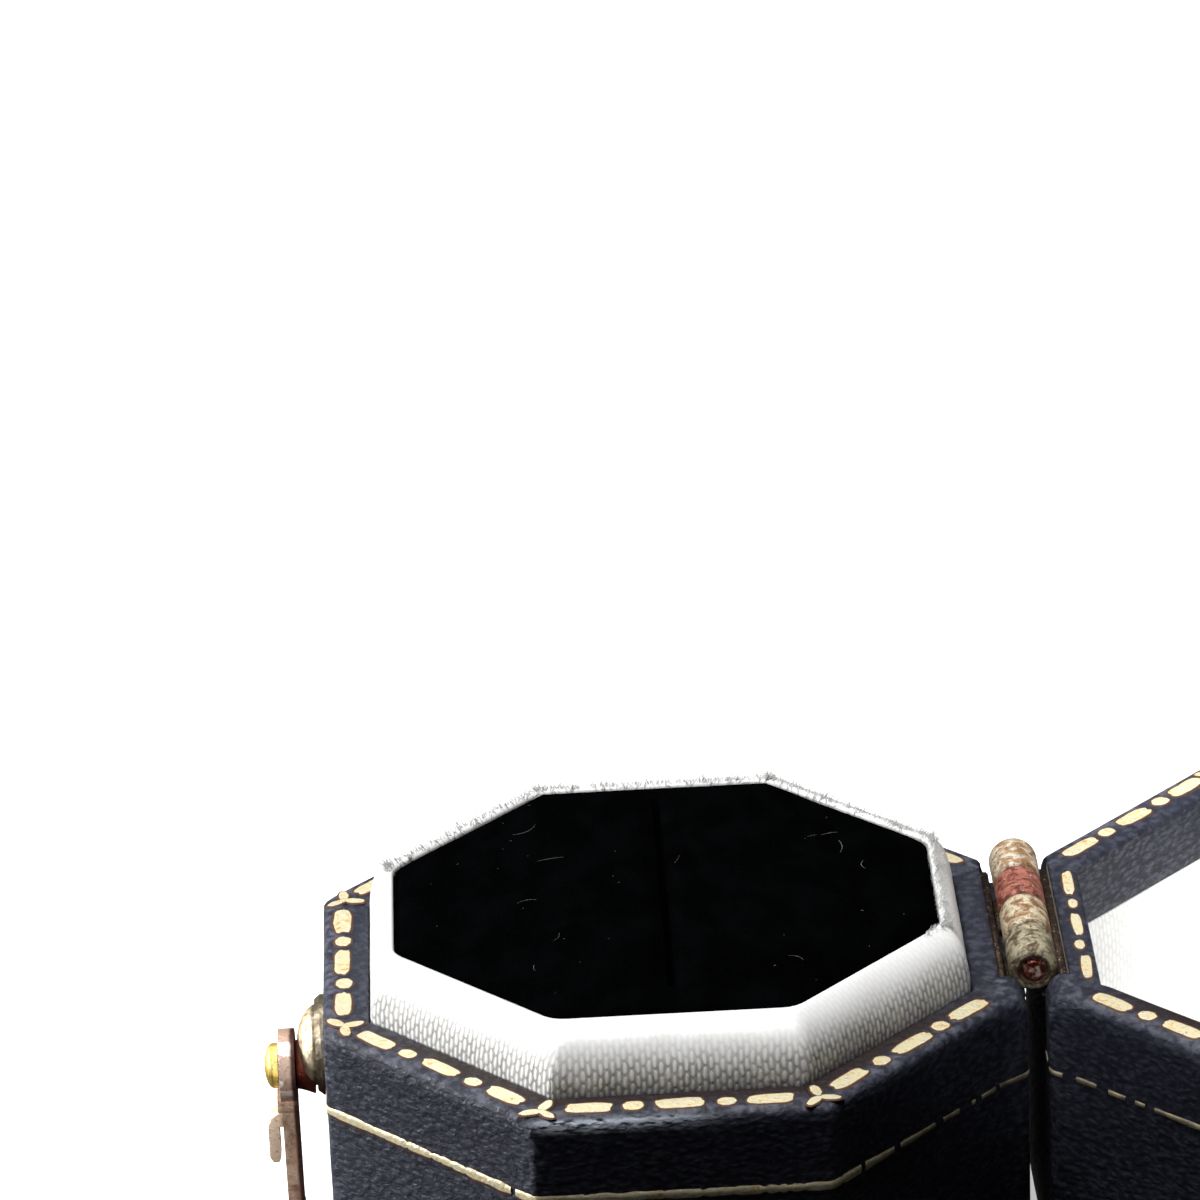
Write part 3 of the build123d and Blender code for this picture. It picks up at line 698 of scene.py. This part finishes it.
# --- gold tooling ---
def blob(half_length, half_width, power, rng, points=30):
    """Ragged outline of a stamped mark, as offsets along and across."""
    phase = rng.uniform(0, 100)
    shape = []
    for k in range(points):
        t = 2 * math.pi * k / points
        c, s = math.cos(t), math.sin(t)
        reach = (abs(c) ** power + abs(s) ** power) ** (-1 / power)
        reach *= 1 + 0.13 * noise.noise(Vector((2.6 * c + phase, 2.6 * s, 0.5)))
        shape.append((reach * c * half_length, reach * s * half_width))
    return shape


# Each level of a stamped mark: growth of its outline, lift above the leather, and the edge value.
STAMP_LEVELS = ((0.14, -0.03, 1.0), (0.075, 0.022, 1.0), (0.0, 0.034, 0.8), (-0.12, 0.05, 0.25),
                (-0.24, 0.045, 0.0))
LEAST_SCALE = 0.12
LEAST_REACH = 0.15
WIDEST_REACH = 0.45


def stamp(bag, place, angle, shape, z):
    """Adds one mark to bag (points, faces, edge values): a flat face with a scorched, sunken border."""
    verts, faces, edges = bag
    start = len(verts)
    cos_a, sin_a = math.cos(angle), math.sin(angle)
    for grow, lift, edge in STAMP_LEVELS:
        for along, across in shape:
            reach = math.hypot(along, across)
            longer = max(LEAST_SCALE, 1 + grow / max(LEAST_REACH, reach))
            wider = max(LEAST_SCALE, 1 + grow / max(LEAST_REACH, min(reach, WIDEST_REACH)))
            x = place[0] + longer * along * cos_a - wider * across * sin_a
            y = place[1] + longer * along * sin_a + wider * across * cos_a
            verts.append((x, y, z + lift + 0.012 * ripple((x, y, z), 0.5)))
            edges.append(edge)
    count = len(shape)
    faces += skin(count, len(STAMP_LEVELS), start)
    faces.append([start + (len(STAMP_LEVELS) - 1) * count + i for i in range(count)])


# Each mark on a side of a rim: place along the side, half-length, half-width and squareness.
RIM_MARKS = ((-5.4, 1.45, 0.54, 4.0), (0, 1.45, 0.54, 4.0), (5.4, 1.45, 0.54, 4.0), (-2.7, 0.62, 0.5, 2.2),
             (2.7, 0.62, 0.5, 2.2))
MARK_INSET = 1.27
HINGE_MARK_INSET = 2.1


def side_marks(bag, half, rng):
    """Three dashes and two dots on each side of a rim, none on the base's hinge side."""
    for k in range(1 if half == "base" else 0, 8):
        angle = math.radians(45 * k)
        by_hinge = half == "lid" and k == 4
        radius = OUTER - (HINGE_MARK_INSET if by_hinge else MARK_INSET)
        narrow = 0.62 if by_hinge else 1.0
        for step, length, width, power in RIM_MARKS:
            t = step + rng.uniform(-0.1, 0.1)
            r = radius + rng.uniform(-0.07, 0.07)
            place = (centre_x(half) + r * math.cos(angle) - t * math.sin(angle),
                     r * math.sin(angle) + t * math.cos(angle))
            length *= rng.uniform(0.93, 1.05)
            shape = blob(length, narrow * width * rng.uniform(0.88, 1.06), power, rng)
            stamp(bag, place, angle + math.pi / 2 + rng.uniform(-0.04, 0.04), shape, RIM)


def corner_petals(bag, half, rng):
    """Three petals at each corner of a rim, none at the corners beside the hinge."""
    for k in range(1, 7):
        corner = math.radians(45 * k + 22.5 + (0 if half == "base" else 180))
        reach = (OUTER - 1.3) / math.cos(math.radians(22.5)) + rng.uniform(-0.1, 0.1)
        for turn in (math.pi, math.radians(66), math.radians(-66)):
            turn += rng.uniform(-0.25, 0.25)
            out = rng.uniform(0.55, 0.75)
            place = (centre_x(half) + reach * math.cos(corner) + out * math.cos(corner + turn),
                     reach * math.sin(corner) + out * math.sin(corner + turn))
            petal = blob(rng.uniform(0.6, 0.74), rng.uniform(0.28, 0.36), 2.0, rng, 18)
            stamp(bag, place, corner + turn, petal, RIM + rng.uniform(0, 0.03))


def rim_tooling(half):
    """Gold marks and petals round a rim."""
    rng = random.Random(TOOLING_SEEDS[half])
    bag = ([], [], [])
    side_marks(bag, half, rng)
    corner_petals(bag, half, rng)
    item = make(f"{half}_rim_gold", bag[0], bag[1], half, FOIL, attributes={"edge": bag[2]})
    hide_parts(f"{half}_rim_tooling")


def line_wear(x, y, side):
    """How far the side line has worn away near the hinge, from 0 to 1."""
    near_hinge = smooth(x * side, 9.5, 16.0)
    return near_hinge if y < 0 else 0.6 * near_hinge


# Each row of points across the side line: height, distance out of the wall, and the edge value.
LINE_ROWS = ((-0.48, 0.01, 1.0), (-0.31, 0.04, 1.0), (-0.25, 0.05, 0.4), (0.0, 0.07, 0.0), (0.24, 0.05, 0.35),
             (0.3, 0.0, 1.0))
LINE_Z = 15.7
LINE_STEP = 0.2
CLASP_GAPS = {"base": 3.1, "lid": 2.4}


def line_missing(x, y, half):
    """Whether the side line stops for the hinge or the clasp, or has worn off."""
    side = hinge_side(half)
    at_hinge = x * side > OUTER - 1 and abs(y - HINGE_Y) < NOTCH_LENGTH / 2 + 0.1
    at_clasp = x * side < 1 - OUTER and abs(y) < CLASP_GAPS[half]
    worn_off = line_wear(x, y, side) > 0.5 and noise.noise(Vector((x * 1.3, y * 1.3, 4.0))) > 0.28
    return at_hinge or at_clasp or worn_off


def side_line(half):
    """Thin gold line round the walls: ragged, nicked, scorched underneath, worn dull towards the hinge."""
    rng = random.Random(LINE_SEEDS[half])
    path = outline(OUTER + 0.01, WALL_BEVEL, 90, 6)
    verts, faces, edges, dull = [], [], [], []
    last = []
    until_nick = rng.uniform(3, 6)
    for x, y in path + path[:1]:
        until_nick -= LINE_STEP
        nicked = until_nick < 0
        if nicked:
            until_nick = rng.uniform(7.0, 26.0)
        if nicked or line_missing(x, y, half):
            last = []
            continue
        worn = line_wear(x, y, hinge_side(half))
        place = (x + centre_x(half), y, LINE_Z)
        pinch = 1 + 0.3 * ripple(place, 0.9, 4.0) + 0.9 * min(0.0, 0.25 + ripple(place, 0.4, 9.0))
        pinch = max(0.3, pinch) * (1 - 0.5 * worn)
        now = [len(verts) + i for i in range(len(LINE_ROWS))]
        for low, out, edge in LINE_ROWS:
            scale = 1 + out / math.hypot(x, y)
            z = LINE_Z + low * pinch + 0.04 * ripple(place, 2.5)
            verts.append((swollen(x * scale, z, half) + centre_x(half), y * scale, z))
            edges.append(edge)
            dull.append(worn * (0.6 + 0.4 * ripple(place, 0.5, 3.0)))
        if last:
            faces += [(last[i], now[i], now[i + 1], last[i + 1]) for i in range(len(LINE_ROWS) - 1)]
        last = now
    item = make(f"{half}_side_gold", verts, faces, half, FOIL, attributes={"edge": edges, "dull": dull})
    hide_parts(f"{half}_side_line")


# --- satin and velvet ---
# The collar's section: share of the way in from the wall to the pad, and height above the rim.
COLLAR_SECTION = ((0.0, -3.0), (0.0, -1.5), (0.0, -0.6), (0.005, -0.1), (0.02, 0.4), (0.05, 0.9), (0.10, 1.4),
                  (0.17, 1.9), (0.26, 2.35), (0.37, 2.75), (0.5, 3.07), (0.64, 3.3), (0.78, 3.45), (0.9, 3.5),
                  (0.97, 3.45), (1.0, 3.3), (1.005, 3.0), (1.005, 2.2), (1.005, 0.5))


def collar():
    """Padded satin collar: up from the base wall, rolled inwards to the velvet, softly uneven."""
    foot = 18.1
    rings = [([foot + (side - foot) * t for side in PAD_SIDES], 1.1 + 0.7 * min(1.0, t), RIM + z)
             for t, z in COLLAR_SECTION]
    verts, faces, depths = loft(rings)
    count = len(verts) // len(rings)
    shaped = []
    for index, (x, y, z) in enumerate(verts):
        t, height = COLLAR_SECTION[index // count]
        if height > 0.2:
            angle = corner_angle(x, y)
            soft = math.sin(math.pi * min(1.0, max(0.0, t + 0.12)))
            puff = 0.10 * ripple((x, y, z), 5.0, 2.0) + 0.04 * ripple((x, y, z), 1.6, 6.0)
            pucker = 0.07 * bell(angle, 5.0) * math.sin(math.radians(angle) * 60) * soft
            scale = 1 + (puff * soft + pucker) / math.hypot(x, y)
            x, y, z = x * scale, y * scale, z + 0.5 * puff * soft
        shaped.append((x, y, z))
    # Higher up the roll the painted shade between the floats fades, as under a painted highlight.
    shine = [smooth(z - RIM, 1.0, 3.0) for _, _, z in shaped]
    item = make("collar_satin_padding", shaped, faces, "base", SATIN, attributes={"shine": shine})
    side_uvs(item, 0.0, depths)
    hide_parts("collar_satin")


def pad_curve():
    """The pad's outline on its +X, +Y quarter, as distances along Y and half-widths."""
    points = outline(PAD_SIDES, PAD_ROUND, 40, 16)
    back = PAD_SIDES[2] - 1e-6
    curve = sorted((y, x) for x, y in points if x > 0 and 0 <= y < back)
    curve.append((PAD_SIDES[2], max(x for x, y in points if y >= back)))
    return [y for y, _ in curve], [x for _, x in curve]


PAD_CURVE = pad_curve()


def pad_edge(y):
    """Half-width of the pad at a distance along Y."""
    return float(np.interp(abs(y), *PAD_CURVE))


def pad_height(x, y):
    """Height of the velvet above the rim: a crown, edges rolled down, and the lips of the slot."""
    slant = (PAD_SIDES[1] * math.sqrt(2) - abs(x) - abs(y)) / math.sqrt(2)
    edge = max(0.0, min(PAD_SIDES[0] - abs(x), PAD_SIDES[2] - abs(y), slant))
    level = 1 - 0.25 * (x / PAD_SIDES[0]) ** 2 - 0.2 * (y / 15) ** 2
    crown = PAD_BRIM + PAD_CROWN * (1 - math.exp(-edge / 4.0)) * level
    roll = 0.45 * max(0.0, 1 - edge / 0.55) ** 2
    ends = max(0.0, min(1.0, (SLOT_END - abs(y)) / 0.8))
    lips = 0.42 * max(0.0, 1 - abs(x) / 1.3) ** 2 * ends
    slot = 2.6 * max(0.0, 1 - abs(x) / 0.22) * ends
    waves = 0.06 * ripple((x, y, 0), 4.0, 1.0) + 0.02 * ripple((x, y, 0), 0.9, 8.0)
    return crown - roll - lips - slot + waves * min(1.0, edge)


def velvet_rows():
    """Distances along Y of the pad's rows of points, closer together at its ends and the slot's."""
    half = PAD_SIDES[2]
    steps = 84
    rows = [-half + 2 * half * k / steps for k in range(steps + 1)]
    return sorted(set(rows + [0.15 - half, half - 0.15, -SLOT_END, SLOT_END, 0.8 - SLOT_END, SLOT_END - 0.8]))


def velvet_row(y):
    """Distances along X of one row's points on its +X half, closer together near the slot."""
    near = [k * 0.11 for k in range(13)]
    reach = pad_edge(y)
    steps = 26
    far = [near[-1] + (reach - near[-1]) * k / steps for k in range(1, steps)]
    return near + far + [reach - 0.15, reach]


def velvet_pad():
    """Velvet pad with a closed slot along Y, its skirt tucked inside the collar."""
    rows = velvet_rows()
    verts, faces = [], []
    for y in rows:
        right = velvet_row(y)
        verts += [(x, y, RIM + pad_height(x, y)) for x in [-v for v in reversed(right[1:])] + right]
    width = len(verts) // len(rows)
    for r in range(len(rows) - 1):
        faces += [(r * width + i, r * width + i + 1, (r + 1) * width + i + 1, (r + 1) * width + i)
                  for i in range(width - 1)]
    loop = list(range(width)) + [r * width + width - 1 for r in range(1, len(rows))]
    loop += [(len(rows) - 1) * width + i for i in range(width - 2, -1, -1)]
    loop += [r * width for r in range(len(rows) - 2, 0, -1)]
    start = len(verts)
    verts += [(verts[i][0], verts[i][1], RIM - 2.0) for i in loop]
    after = loop[1:] + loop[:1]
    faces += [(after[i], loop[i], start + i, start + (i + 1) % len(loop)) for i in range(len(loop))]
    item = make("velvet_pad", verts, faces, "base", VELVET)
    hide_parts("pad_velvet")


def fibre(bag, start, heading, length, radius, rng, bend=0.8, climb=0.0):
    """Adds one thin curved fibre to bag (points, faces)."""
    verts, faces = bag
    first = len(verts)
    steps = 6
    p = Vector(start)
    direction = Vector((math.cos(heading), math.sin(heading), climb)).normalized()
    turn = rng.uniform(-bend, bend)
    for k in range(steps + 1):
        across = direction.cross(Vector((0, 0, 1)))
        if across.length < 0.1:
            across = Vector((1, 0, 0))
        across.normalize()
        other = direction.cross(across).normalized()
        r = radius * (1 - 0.6 * abs(2 * k / steps - 1))
        for j in range(4):
            a = math.pi / 2 * j
            verts.append(tuple(p + across * r * math.cos(a) + other * r * math.sin(a)))
        p = p + direction * (length / steps)
        direction = (Matrix.Rotation(turn / steps * 2, 3, "Z") @ direction).normalized()
    faces += skin(4, steps + 1, first)


# Longer fibres on the velvet: place, heading and length.
LONG_FIBRES = ((-9.0, 8.0, 0.1, 2.0), (-7.6, 3.6, 0.3, 1.7), (11.0, 3.0, 1.2, 1.6), (12.4, 1.0, 2.2, 1.2),
               (10.0, 5.6, 0.4, 1.1))


def loose_lint(rng):
    """Stray fibres on the velvet."""
    bag = ([], [])
    for _ in range(36):
        x, y = rng.uniform(-15, 15), rng.uniform(-13, 13)
        if abs(x) > pad_edge(y) - 0.8 or abs(x) < 0.6:
            continue
        length = rng.choice((0.08, 0.1, 0.12, 0.15, 0.2, 1.3))
        z = RIM + pad_height(x, y) + 0.03
        fibre(bag, (x, y, z), rng.uniform(0, 6.28), length, rng.uniform(0.010, 0.02), rng, 1.2, 0.02)
    for x, y, heading, length in LONG_FIBRES:
        fibre(bag, (x, y, RIM + pad_height(x, y) + 0.04), heading, length, 0.02, rng, 1.0, 0.02)
    item = make("lint", *bag, "base", LINT)


def satin_fray(rng):
    """The satin's frayed edge round the back and the right of the pad."""
    bag = ([], [])
    border = [p for p in outline([side + 0.1 for side in PAD_SIDES], 0.3) if p[1] > 5 or p[0] > 15]
    for _ in range(1500):
        x, y = rng.choice(border)
        x, y = x + rng.uniform(-0.25, 0.25), y + rng.uniform(-0.25, 0.25)
        heading = math.atan2(y, x) + rng.uniform(-0.9, 0.9)
        length = rng.uniform(0.35, 1.0)
        fibre(bag, (x, y, RIM + 3.3), heading, length, 0.022, rng, 0.9, rng.uniform(0.2, 1.6))
    item = make("satin_fray", *bag, "base", FRAY)


def lid_walls():
    """Satin lining round the lid's walls."""
    rings = [(18.45, 0.5, 16.65), (18.12, 0.6, 16.6), (18.0, 0.7, 16.2), (17.86, 0.8, 15.0),
             (17.8, 0.9, 13.0), (17.8, 0.9, 11.0), (17.85, 0.9, 9.0), (17.95, 0.8, 7.0), (18.05, 0.7, 5.0),
             (18.05, 0.7, 3.4)]
    verts, faces, depths = loft(rings)
    verts = [(x + LID_X + 0.05 * ripple((x, y, z), 4.0), y + 0.05 * ripple((y, x, z), 4.0), z)
             for x, y, z in verts]
    # High shine: the painted shade between the floats stays faint on the lid's walls, as under a painted
    # highlight.
    shine = [0.85 + 0.15 * ripple(v, 7.0, 2.0) for v in verts]
    walls = make("lid_satin_walls", verts, [f[::-1] for f in faces], "lid", SATIN,
                 attributes={"shine": shine})
    side_uvs(walls, LID_X, depths)
    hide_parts("lid_lining")


LID_PAD_HALF = 17.85
LID_PAD_LOW = 3.4
LID_PAD_SHOULDER = 5.1
LID_PAD_CROWN = 1.7
SIM_SCALE = 0.1
SIM_FRAMES = 26
CLOTH = {"quality": 6, "mass": 0.15, "tension_stiffness": 12, "compression_stiffness": 8,
         "shear_stiffness": 5, "bending_stiffness": 0.3, "vertex_group_mass": "held", "shrink_min": -0.035,
         "use_pressure": True, "uniform_pressure_force": 3.0}


def lid_pad_sheet():
    """Flat satin for the lid's pad, with a skirt, as points, faces and the skirt's pinned points."""
    skirt = [(LID_PAD_HALF, 0.5, LID_PAD_LOW), (LID_PAD_HALF, 0.5, 4.2),
             (LID_PAD_HALF - 0.05, 0.5, LID_PAD_SHOULDER)]
    verts, faces, _ = loft(skirt)
    pinned = list(range(len(verts)))
    count = len(verts) // len(skirt)
    brim = verts[-count:]
    steps = 22
    first = len(verts) - count
    for k in range(1, steps):
        share = 1 - k / steps
        verts += [(share * x, share * y, LID_PAD_SHOULDER) for x, y, _ in brim]
    faces += skin(count, steps, first)
    last = len(verts) - count
    verts.append((0.0, 0.0, LID_PAD_SHOULDER))
    faces += [(last + i, last + (i + 1) % count, len(verts) - 1) for i in range(count)]
    return verts, faces, pinned


def inflate(verts, faces, pinned):
    """Blows the sheet up as cloth held round its edge; returns its points, scaled back to millimetres."""
    mesh = bpy.data.meshes.new("sheet")
    mesh.from_pydata([tuple(c * SIM_SCALE for c in v) for v in verts], [], faces)
    item = bpy.data.objects.new("sheet", mesh)
    link(item)
    item.vertex_groups.new(name="held").add(pinned, 1.0, "REPLACE")
    cloth = item.modifiers.new("cloth", "CLOTH")
    for key, value in CLOTH.items():
        setattr(cloth.settings, key, value)
    cloth.settings.effector_weights.gravity = 0.0
    cloth.point_cache.frame_start = 1
    cloth.point_cache.frame_end = SIM_FRAMES
    for frame_number in range(1, SIM_FRAMES + 1):
        bpy.context.scene.frame_set(frame_number)
    solved = item.evaluated_get(bpy.context.evaluated_depsgraph_get()).to_mesh()
    points = [tuple(c / SIM_SCALE for c in v.co) for v in solved.vertices]
    bpy.data.objects.remove(item, do_unlink=True)
    bpy.context.scene.frame_set(1)
    return points


def lid_pad():
    """Padded satin panel in the lid's bottom, blown up from a flat sheet."""
    flat, faces, pinned = lid_pad_sheet()
    verts = inflate(flat, faces, pinned)
    crown = max(z for _, _, z in verts) - LID_PAD_SHOULDER
    shaped = []
    for (x, y, z), (x0, y0, z0) in zip(verts, flat):
        if z0 >= LID_PAD_SHOULDER:
            inward = 1 - min(1.0, math.hypot(x0, y0) / LID_PAD_HALF) ** 2
            dome = LID_PAD_CROWN * (1 - (1 - inward) ** 2)
            lift = (z - LID_PAD_SHOULDER) * LID_PAD_CROWN / crown if crown > 0.2 else dome
            z = LID_PAD_SHOULDER + lift
        shaped.append((x + LID_X, y, z))
    # Middling shine: the painted shade between the floats shows at about half strength on the lid's pad.
    shine = [0.5 + 0.3 * ripple(v, 6.0, 3.0) for v in shaped]
    item = make("lid_satin_pad", shaped, faces, "lid", SATIN, [(x, y) for x, y, _ in flat],
                attributes={"shine": shine})
    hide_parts("lid_pad_satin")


# --- hook and hinge ---
def worn_hook():
    """Copy of the CAD hook with worn, rounded edges, standing for it."""
    mesh = frame["nodes"]["hook"].data.copy()
    mesh.materials.clear()
    item = placed("hook_worn", mesh, "hook", HOOK)
    bm = bmesh.new()
    bm.from_mesh(mesh)
    bmesh.ops.remove_doubles(bm, verts=bm.verts, dist=1e-6)
    bmesh.ops.dissolve_limit(bm, angle_limit=math.radians(1.0), verts=bm.verts, edges=bm.edges)
    bm.to_mesh(mesh)
    bm.free()
    apply_modifier(item, "BEVEL", width=0.16 * MM, segments=3, limit_method="ANGLE",
                   angle_limit=math.radians(38), harden_normals=False)
    item.data.polygons.foreach_set("use_smooth", [True] * len(item.data.polygons))
    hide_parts("hook")


KNUCKLES = 4
KNUCKLE_PITCH = BARREL / KNUCKLES
KNUCKLE_LENGTH = 3.69
KNUCKLE_RADIUS = 1.5
PIN_BORE = 0.8
# A knuckle's rolled end: distance from the end, radius and joint value.
SHOULDER = ((0.0, 1.08, 0.1), (0.03, 1.26, 0.3), (0.13, 1.41, 0.6), (0.3, 1.48, 0.2), (0.55, 1.5, 0.0))


def knuckle_middle(index):
    """Place along Y of a knuckle, counted from the near end."""
    return HINGE_Y - BARREL / 2 + KNUCKLE_PITCH * (index + 0.5)


def knuckle(index):
    """One rolled knuckle, counted from the near end: points, faces and joint values of a closed ring."""
    middle = knuckle_middle(index)
    half = KNUCKLE_LENGTH / 2
    profile = [(-half, PIN_BORE, 1.0), (-half, 0.98, 1.0)]
    profile += [(-half + y, r, joint) for y, r, joint in SHOULDER]
    profile += [(k * 0.26, KNUCKLE_RADIUS, 0.0) for k in range(-4, 5)]
    profile += [(half - y, r, joint) for y, r, joint in reversed(SHOULDER)]
    profile += [(half, 0.98, 1.0), (half, PIN_BORE, 1.0)]
    around = 56
    verts, joints = [], []
    for y, r, joint in profile:
        for k in range(around):
            a = 2 * math.pi * k / around
            place = (r * math.cos(a), middle + y, r * math.sin(a))
            dent = 0.05 * ripple(place, 1.3, 2.0 + index) if r > 1.2 else 0.0
            reach = r - abs(dent)
            verts.append((AXIS_X + reach * math.cos(a), middle + y, AXIS_Z + reach * math.sin(a)))
            joints.append(joint)
    return verts, skin(around, len(profile), closed=True), joints


def block(bm, low, high):
    """Adds a box between two corners, in millimetres."""
    made = bmesh.ops.create_cube(bm, size=1.0)["verts"]
    for vertex in made:
        vertex.co = [((l + h) / 2 + c * (h - l)) * MM for c, l, h in zip(vertex.co, low, high)]


LEAF_LOW = 15.6
LEAF_TOP = 20.2
LEAF_FACE = 20.5
LEAF_THICKNESS = 0.6
WEB_HEIGHT = 0.65
LAP_LOW = 19.0
LAP_HIGH = 19.5


def hinge_half(half):
    """Hinge leaf with its rolled knuckles, each in its own tarnish."""
    side = hinge_side(half)
    middle = centre_x(half)
    turns = range(0 if half == "base" else 1, KNUCKLES, 2)
    bm = bmesh.new()
    tone = bm.verts.layers.float.new("tone")
    joint = bm.verts.layers.float.new("joint")
    inner, outer = sorted((middle + side * (LEAF_FACE - LEAF_THICKNESS), middle + side * LEAF_FACE))
    # The leaf and its webs keep tone 0, which the hinge material paints near black as painted shade.
    block(bm, (inner, HINGE_Y - BARREL / 2, LEAF_LOW), (outer, HINGE_Y + BARREL / 2, LEAF_TOP))
    near, far = sorted((middle + side * (LEAF_FACE - 0.1), AXIS_X - side * 1.0))
    for index in turns:
        low, high = (knuckle_middle(index) + end * KNUCKLE_LENGTH / 2 for end in (-1, 1))
        block(bm, (near, low, LEAF_TOP - WEB_HEIGHT), (far, high, LEAF_TOP))
    bmesh.ops.bevel(bm, geom=bm.edges[:], offset=0.09 * MM, segments=2, affect="EDGES")
    for index in turns:
        verts, faces, joints = knuckle(index)
        added = [bm.verts.new([c * MM for c in v]) for v in verts]
        for vertex, value in zip(added, joints):
            vertex[tone] = 0.8 - 0.2 * index
            vertex[joint] = value
        for face in faces:
            bm.faces.new([added[i] for i in face])
    for face in bm.faces:
        face.smooth = True
    bmesh.ops.recalc_face_normals(bm, faces=bm.faces)
    item = from_bmesh(f"hinge_{half}", bm, half, HINGE)
    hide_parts(f"hinge_leaf_{half}")


def hinge_lap(half):
    """Leatherette lapped off the wall and under the knuckles."""
    side = hinge_side(half)
    reach = BARREL / 2 - 0.1
    bm = bmesh.new()
    near, far = sorted((centre_x(half) + side * (LEAF_FACE - 0.1), AXIS_X - side * 0.5))
    block(bm, (near, HINGE_Y - reach, LAP_LOW), (far, HINGE_Y + reach, LAP_HIGH))
    bmesh.ops.bevel(bm, geom=bm.edges[:], offset=0.15 * MM, segments=2, affect="EDGES")
    item = from_bmesh(f"hinge_lap_{half}", bm, half, LEATHER)


def rivet_boss():
    """Dark collar round the rivet, between the rosette's dome and the hook: its dark red-brown is painted
    shade, filling the shadowed gap there.
    """
    profile = ((-21.9, 1.85), (-22.3, 1.7), (-22.75, 1.55), (-23.0, 1.5), (-23.02, 1.2), (-23.02, 0.61))
    around = 40
    turns = [2 * math.pi * k / around for k in range(around)]
    verts = [(x, r * math.cos(a), PIVOT_Z + r * math.sin(a)) for x, r in profile for a in turns]
    item = make("rivet_boss", verts, skin(around, len(profile)), "base", SHADE_BRASS)


# --- the scene ---
camera()
stage()
bpy.context.scene.view_settings.view_transform = "Standard"

LEATHER = leatherette("leatherette")
FOIL = gold_foil("gold_foil")
SATIN = satin("satin")
VELVET = velvet("velvet")
BOARD = board("board", (0.6, 0.56, 0.48))
FOAM = board("foam", (0.8, 0.77, 0.68))
LINT = board("lint", (0.16, 0.16, 0.155))
FRAY = board("fray", (0.62, 0.62, 0.61))
HINGE = hinge_brass("hinge_brass")
ROSETTE = rosette_brass("rosette_brass")
HOOK = hook_brass("hook_brass")
# Dark red-brown brass for the rivet's collar: painted shade.
SHADE_BRASS = aged_brass("brass_painted_shade", [(0.35, (0.10, 0.022, 0.014)), (0.6, (0.22, 0.05, 0.03)),
                                       (0.75, (0.40, 0.16, 0.10))])
# The pin's end: dark red and copper, and the cream top of its ramp gives small painted glints.
PIN = aged_brass("pin_brass", [(0.38, (0.07, 0.014, 0.010)), (0.5, (0.42, 0.11, 0.07)),
                               (0.6, (1.0, 0.80, 0.66))], 2.2)
CLASP = aged_brass("clasp_brass", [(0.3, (0.30, 0.12, 0.06)), (0.5, (0.68, 0.36, 0.20)),
                                   (0.7, (0.86, 0.60, 0.40))])
RIVET = aged_brass("rivet_brass", [(0.3, (0.55, 0.32, 0.08)), (0.5, (0.9, 0.66, 0.16)),
                                   (0.7, (1.0, 0.86, 0.40))])
MATERIALS = {"leatherette": LEATHER, "gold_foil": FOIL, "satin": SATIN, "velvet": VELVET, "board": BOARD,
             "foam": FOAM, "hinge_brass": HINGE, "clasp_brass": CLASP, "rivet_brass": RIVET}
OWN_MATERIALS = {"hook_rosette": ROSETTE, "hinge_pin": PIN}
for part in frame["record"]["subparts"]:
    node = frame["nodes"][part["node"]]
    for slot in node.material_slots:
        slot.material = OWN_MATERIALS.get(part["node"], MATERIALS[part["material_slot"]])

for half in ("base", "lid"):
    cover(half)
    rim_tooling(half)
    side_line(half)
collar()
velvet_pad()
rng = random.Random(41)
loose_lint(rng)
satin_fray(rng)
lid_walls()
lid_pad()
for half in ("base", "lid"):
    hinge_half(half)
    hinge_lap(half)
worn_hook()
rivet_boss()
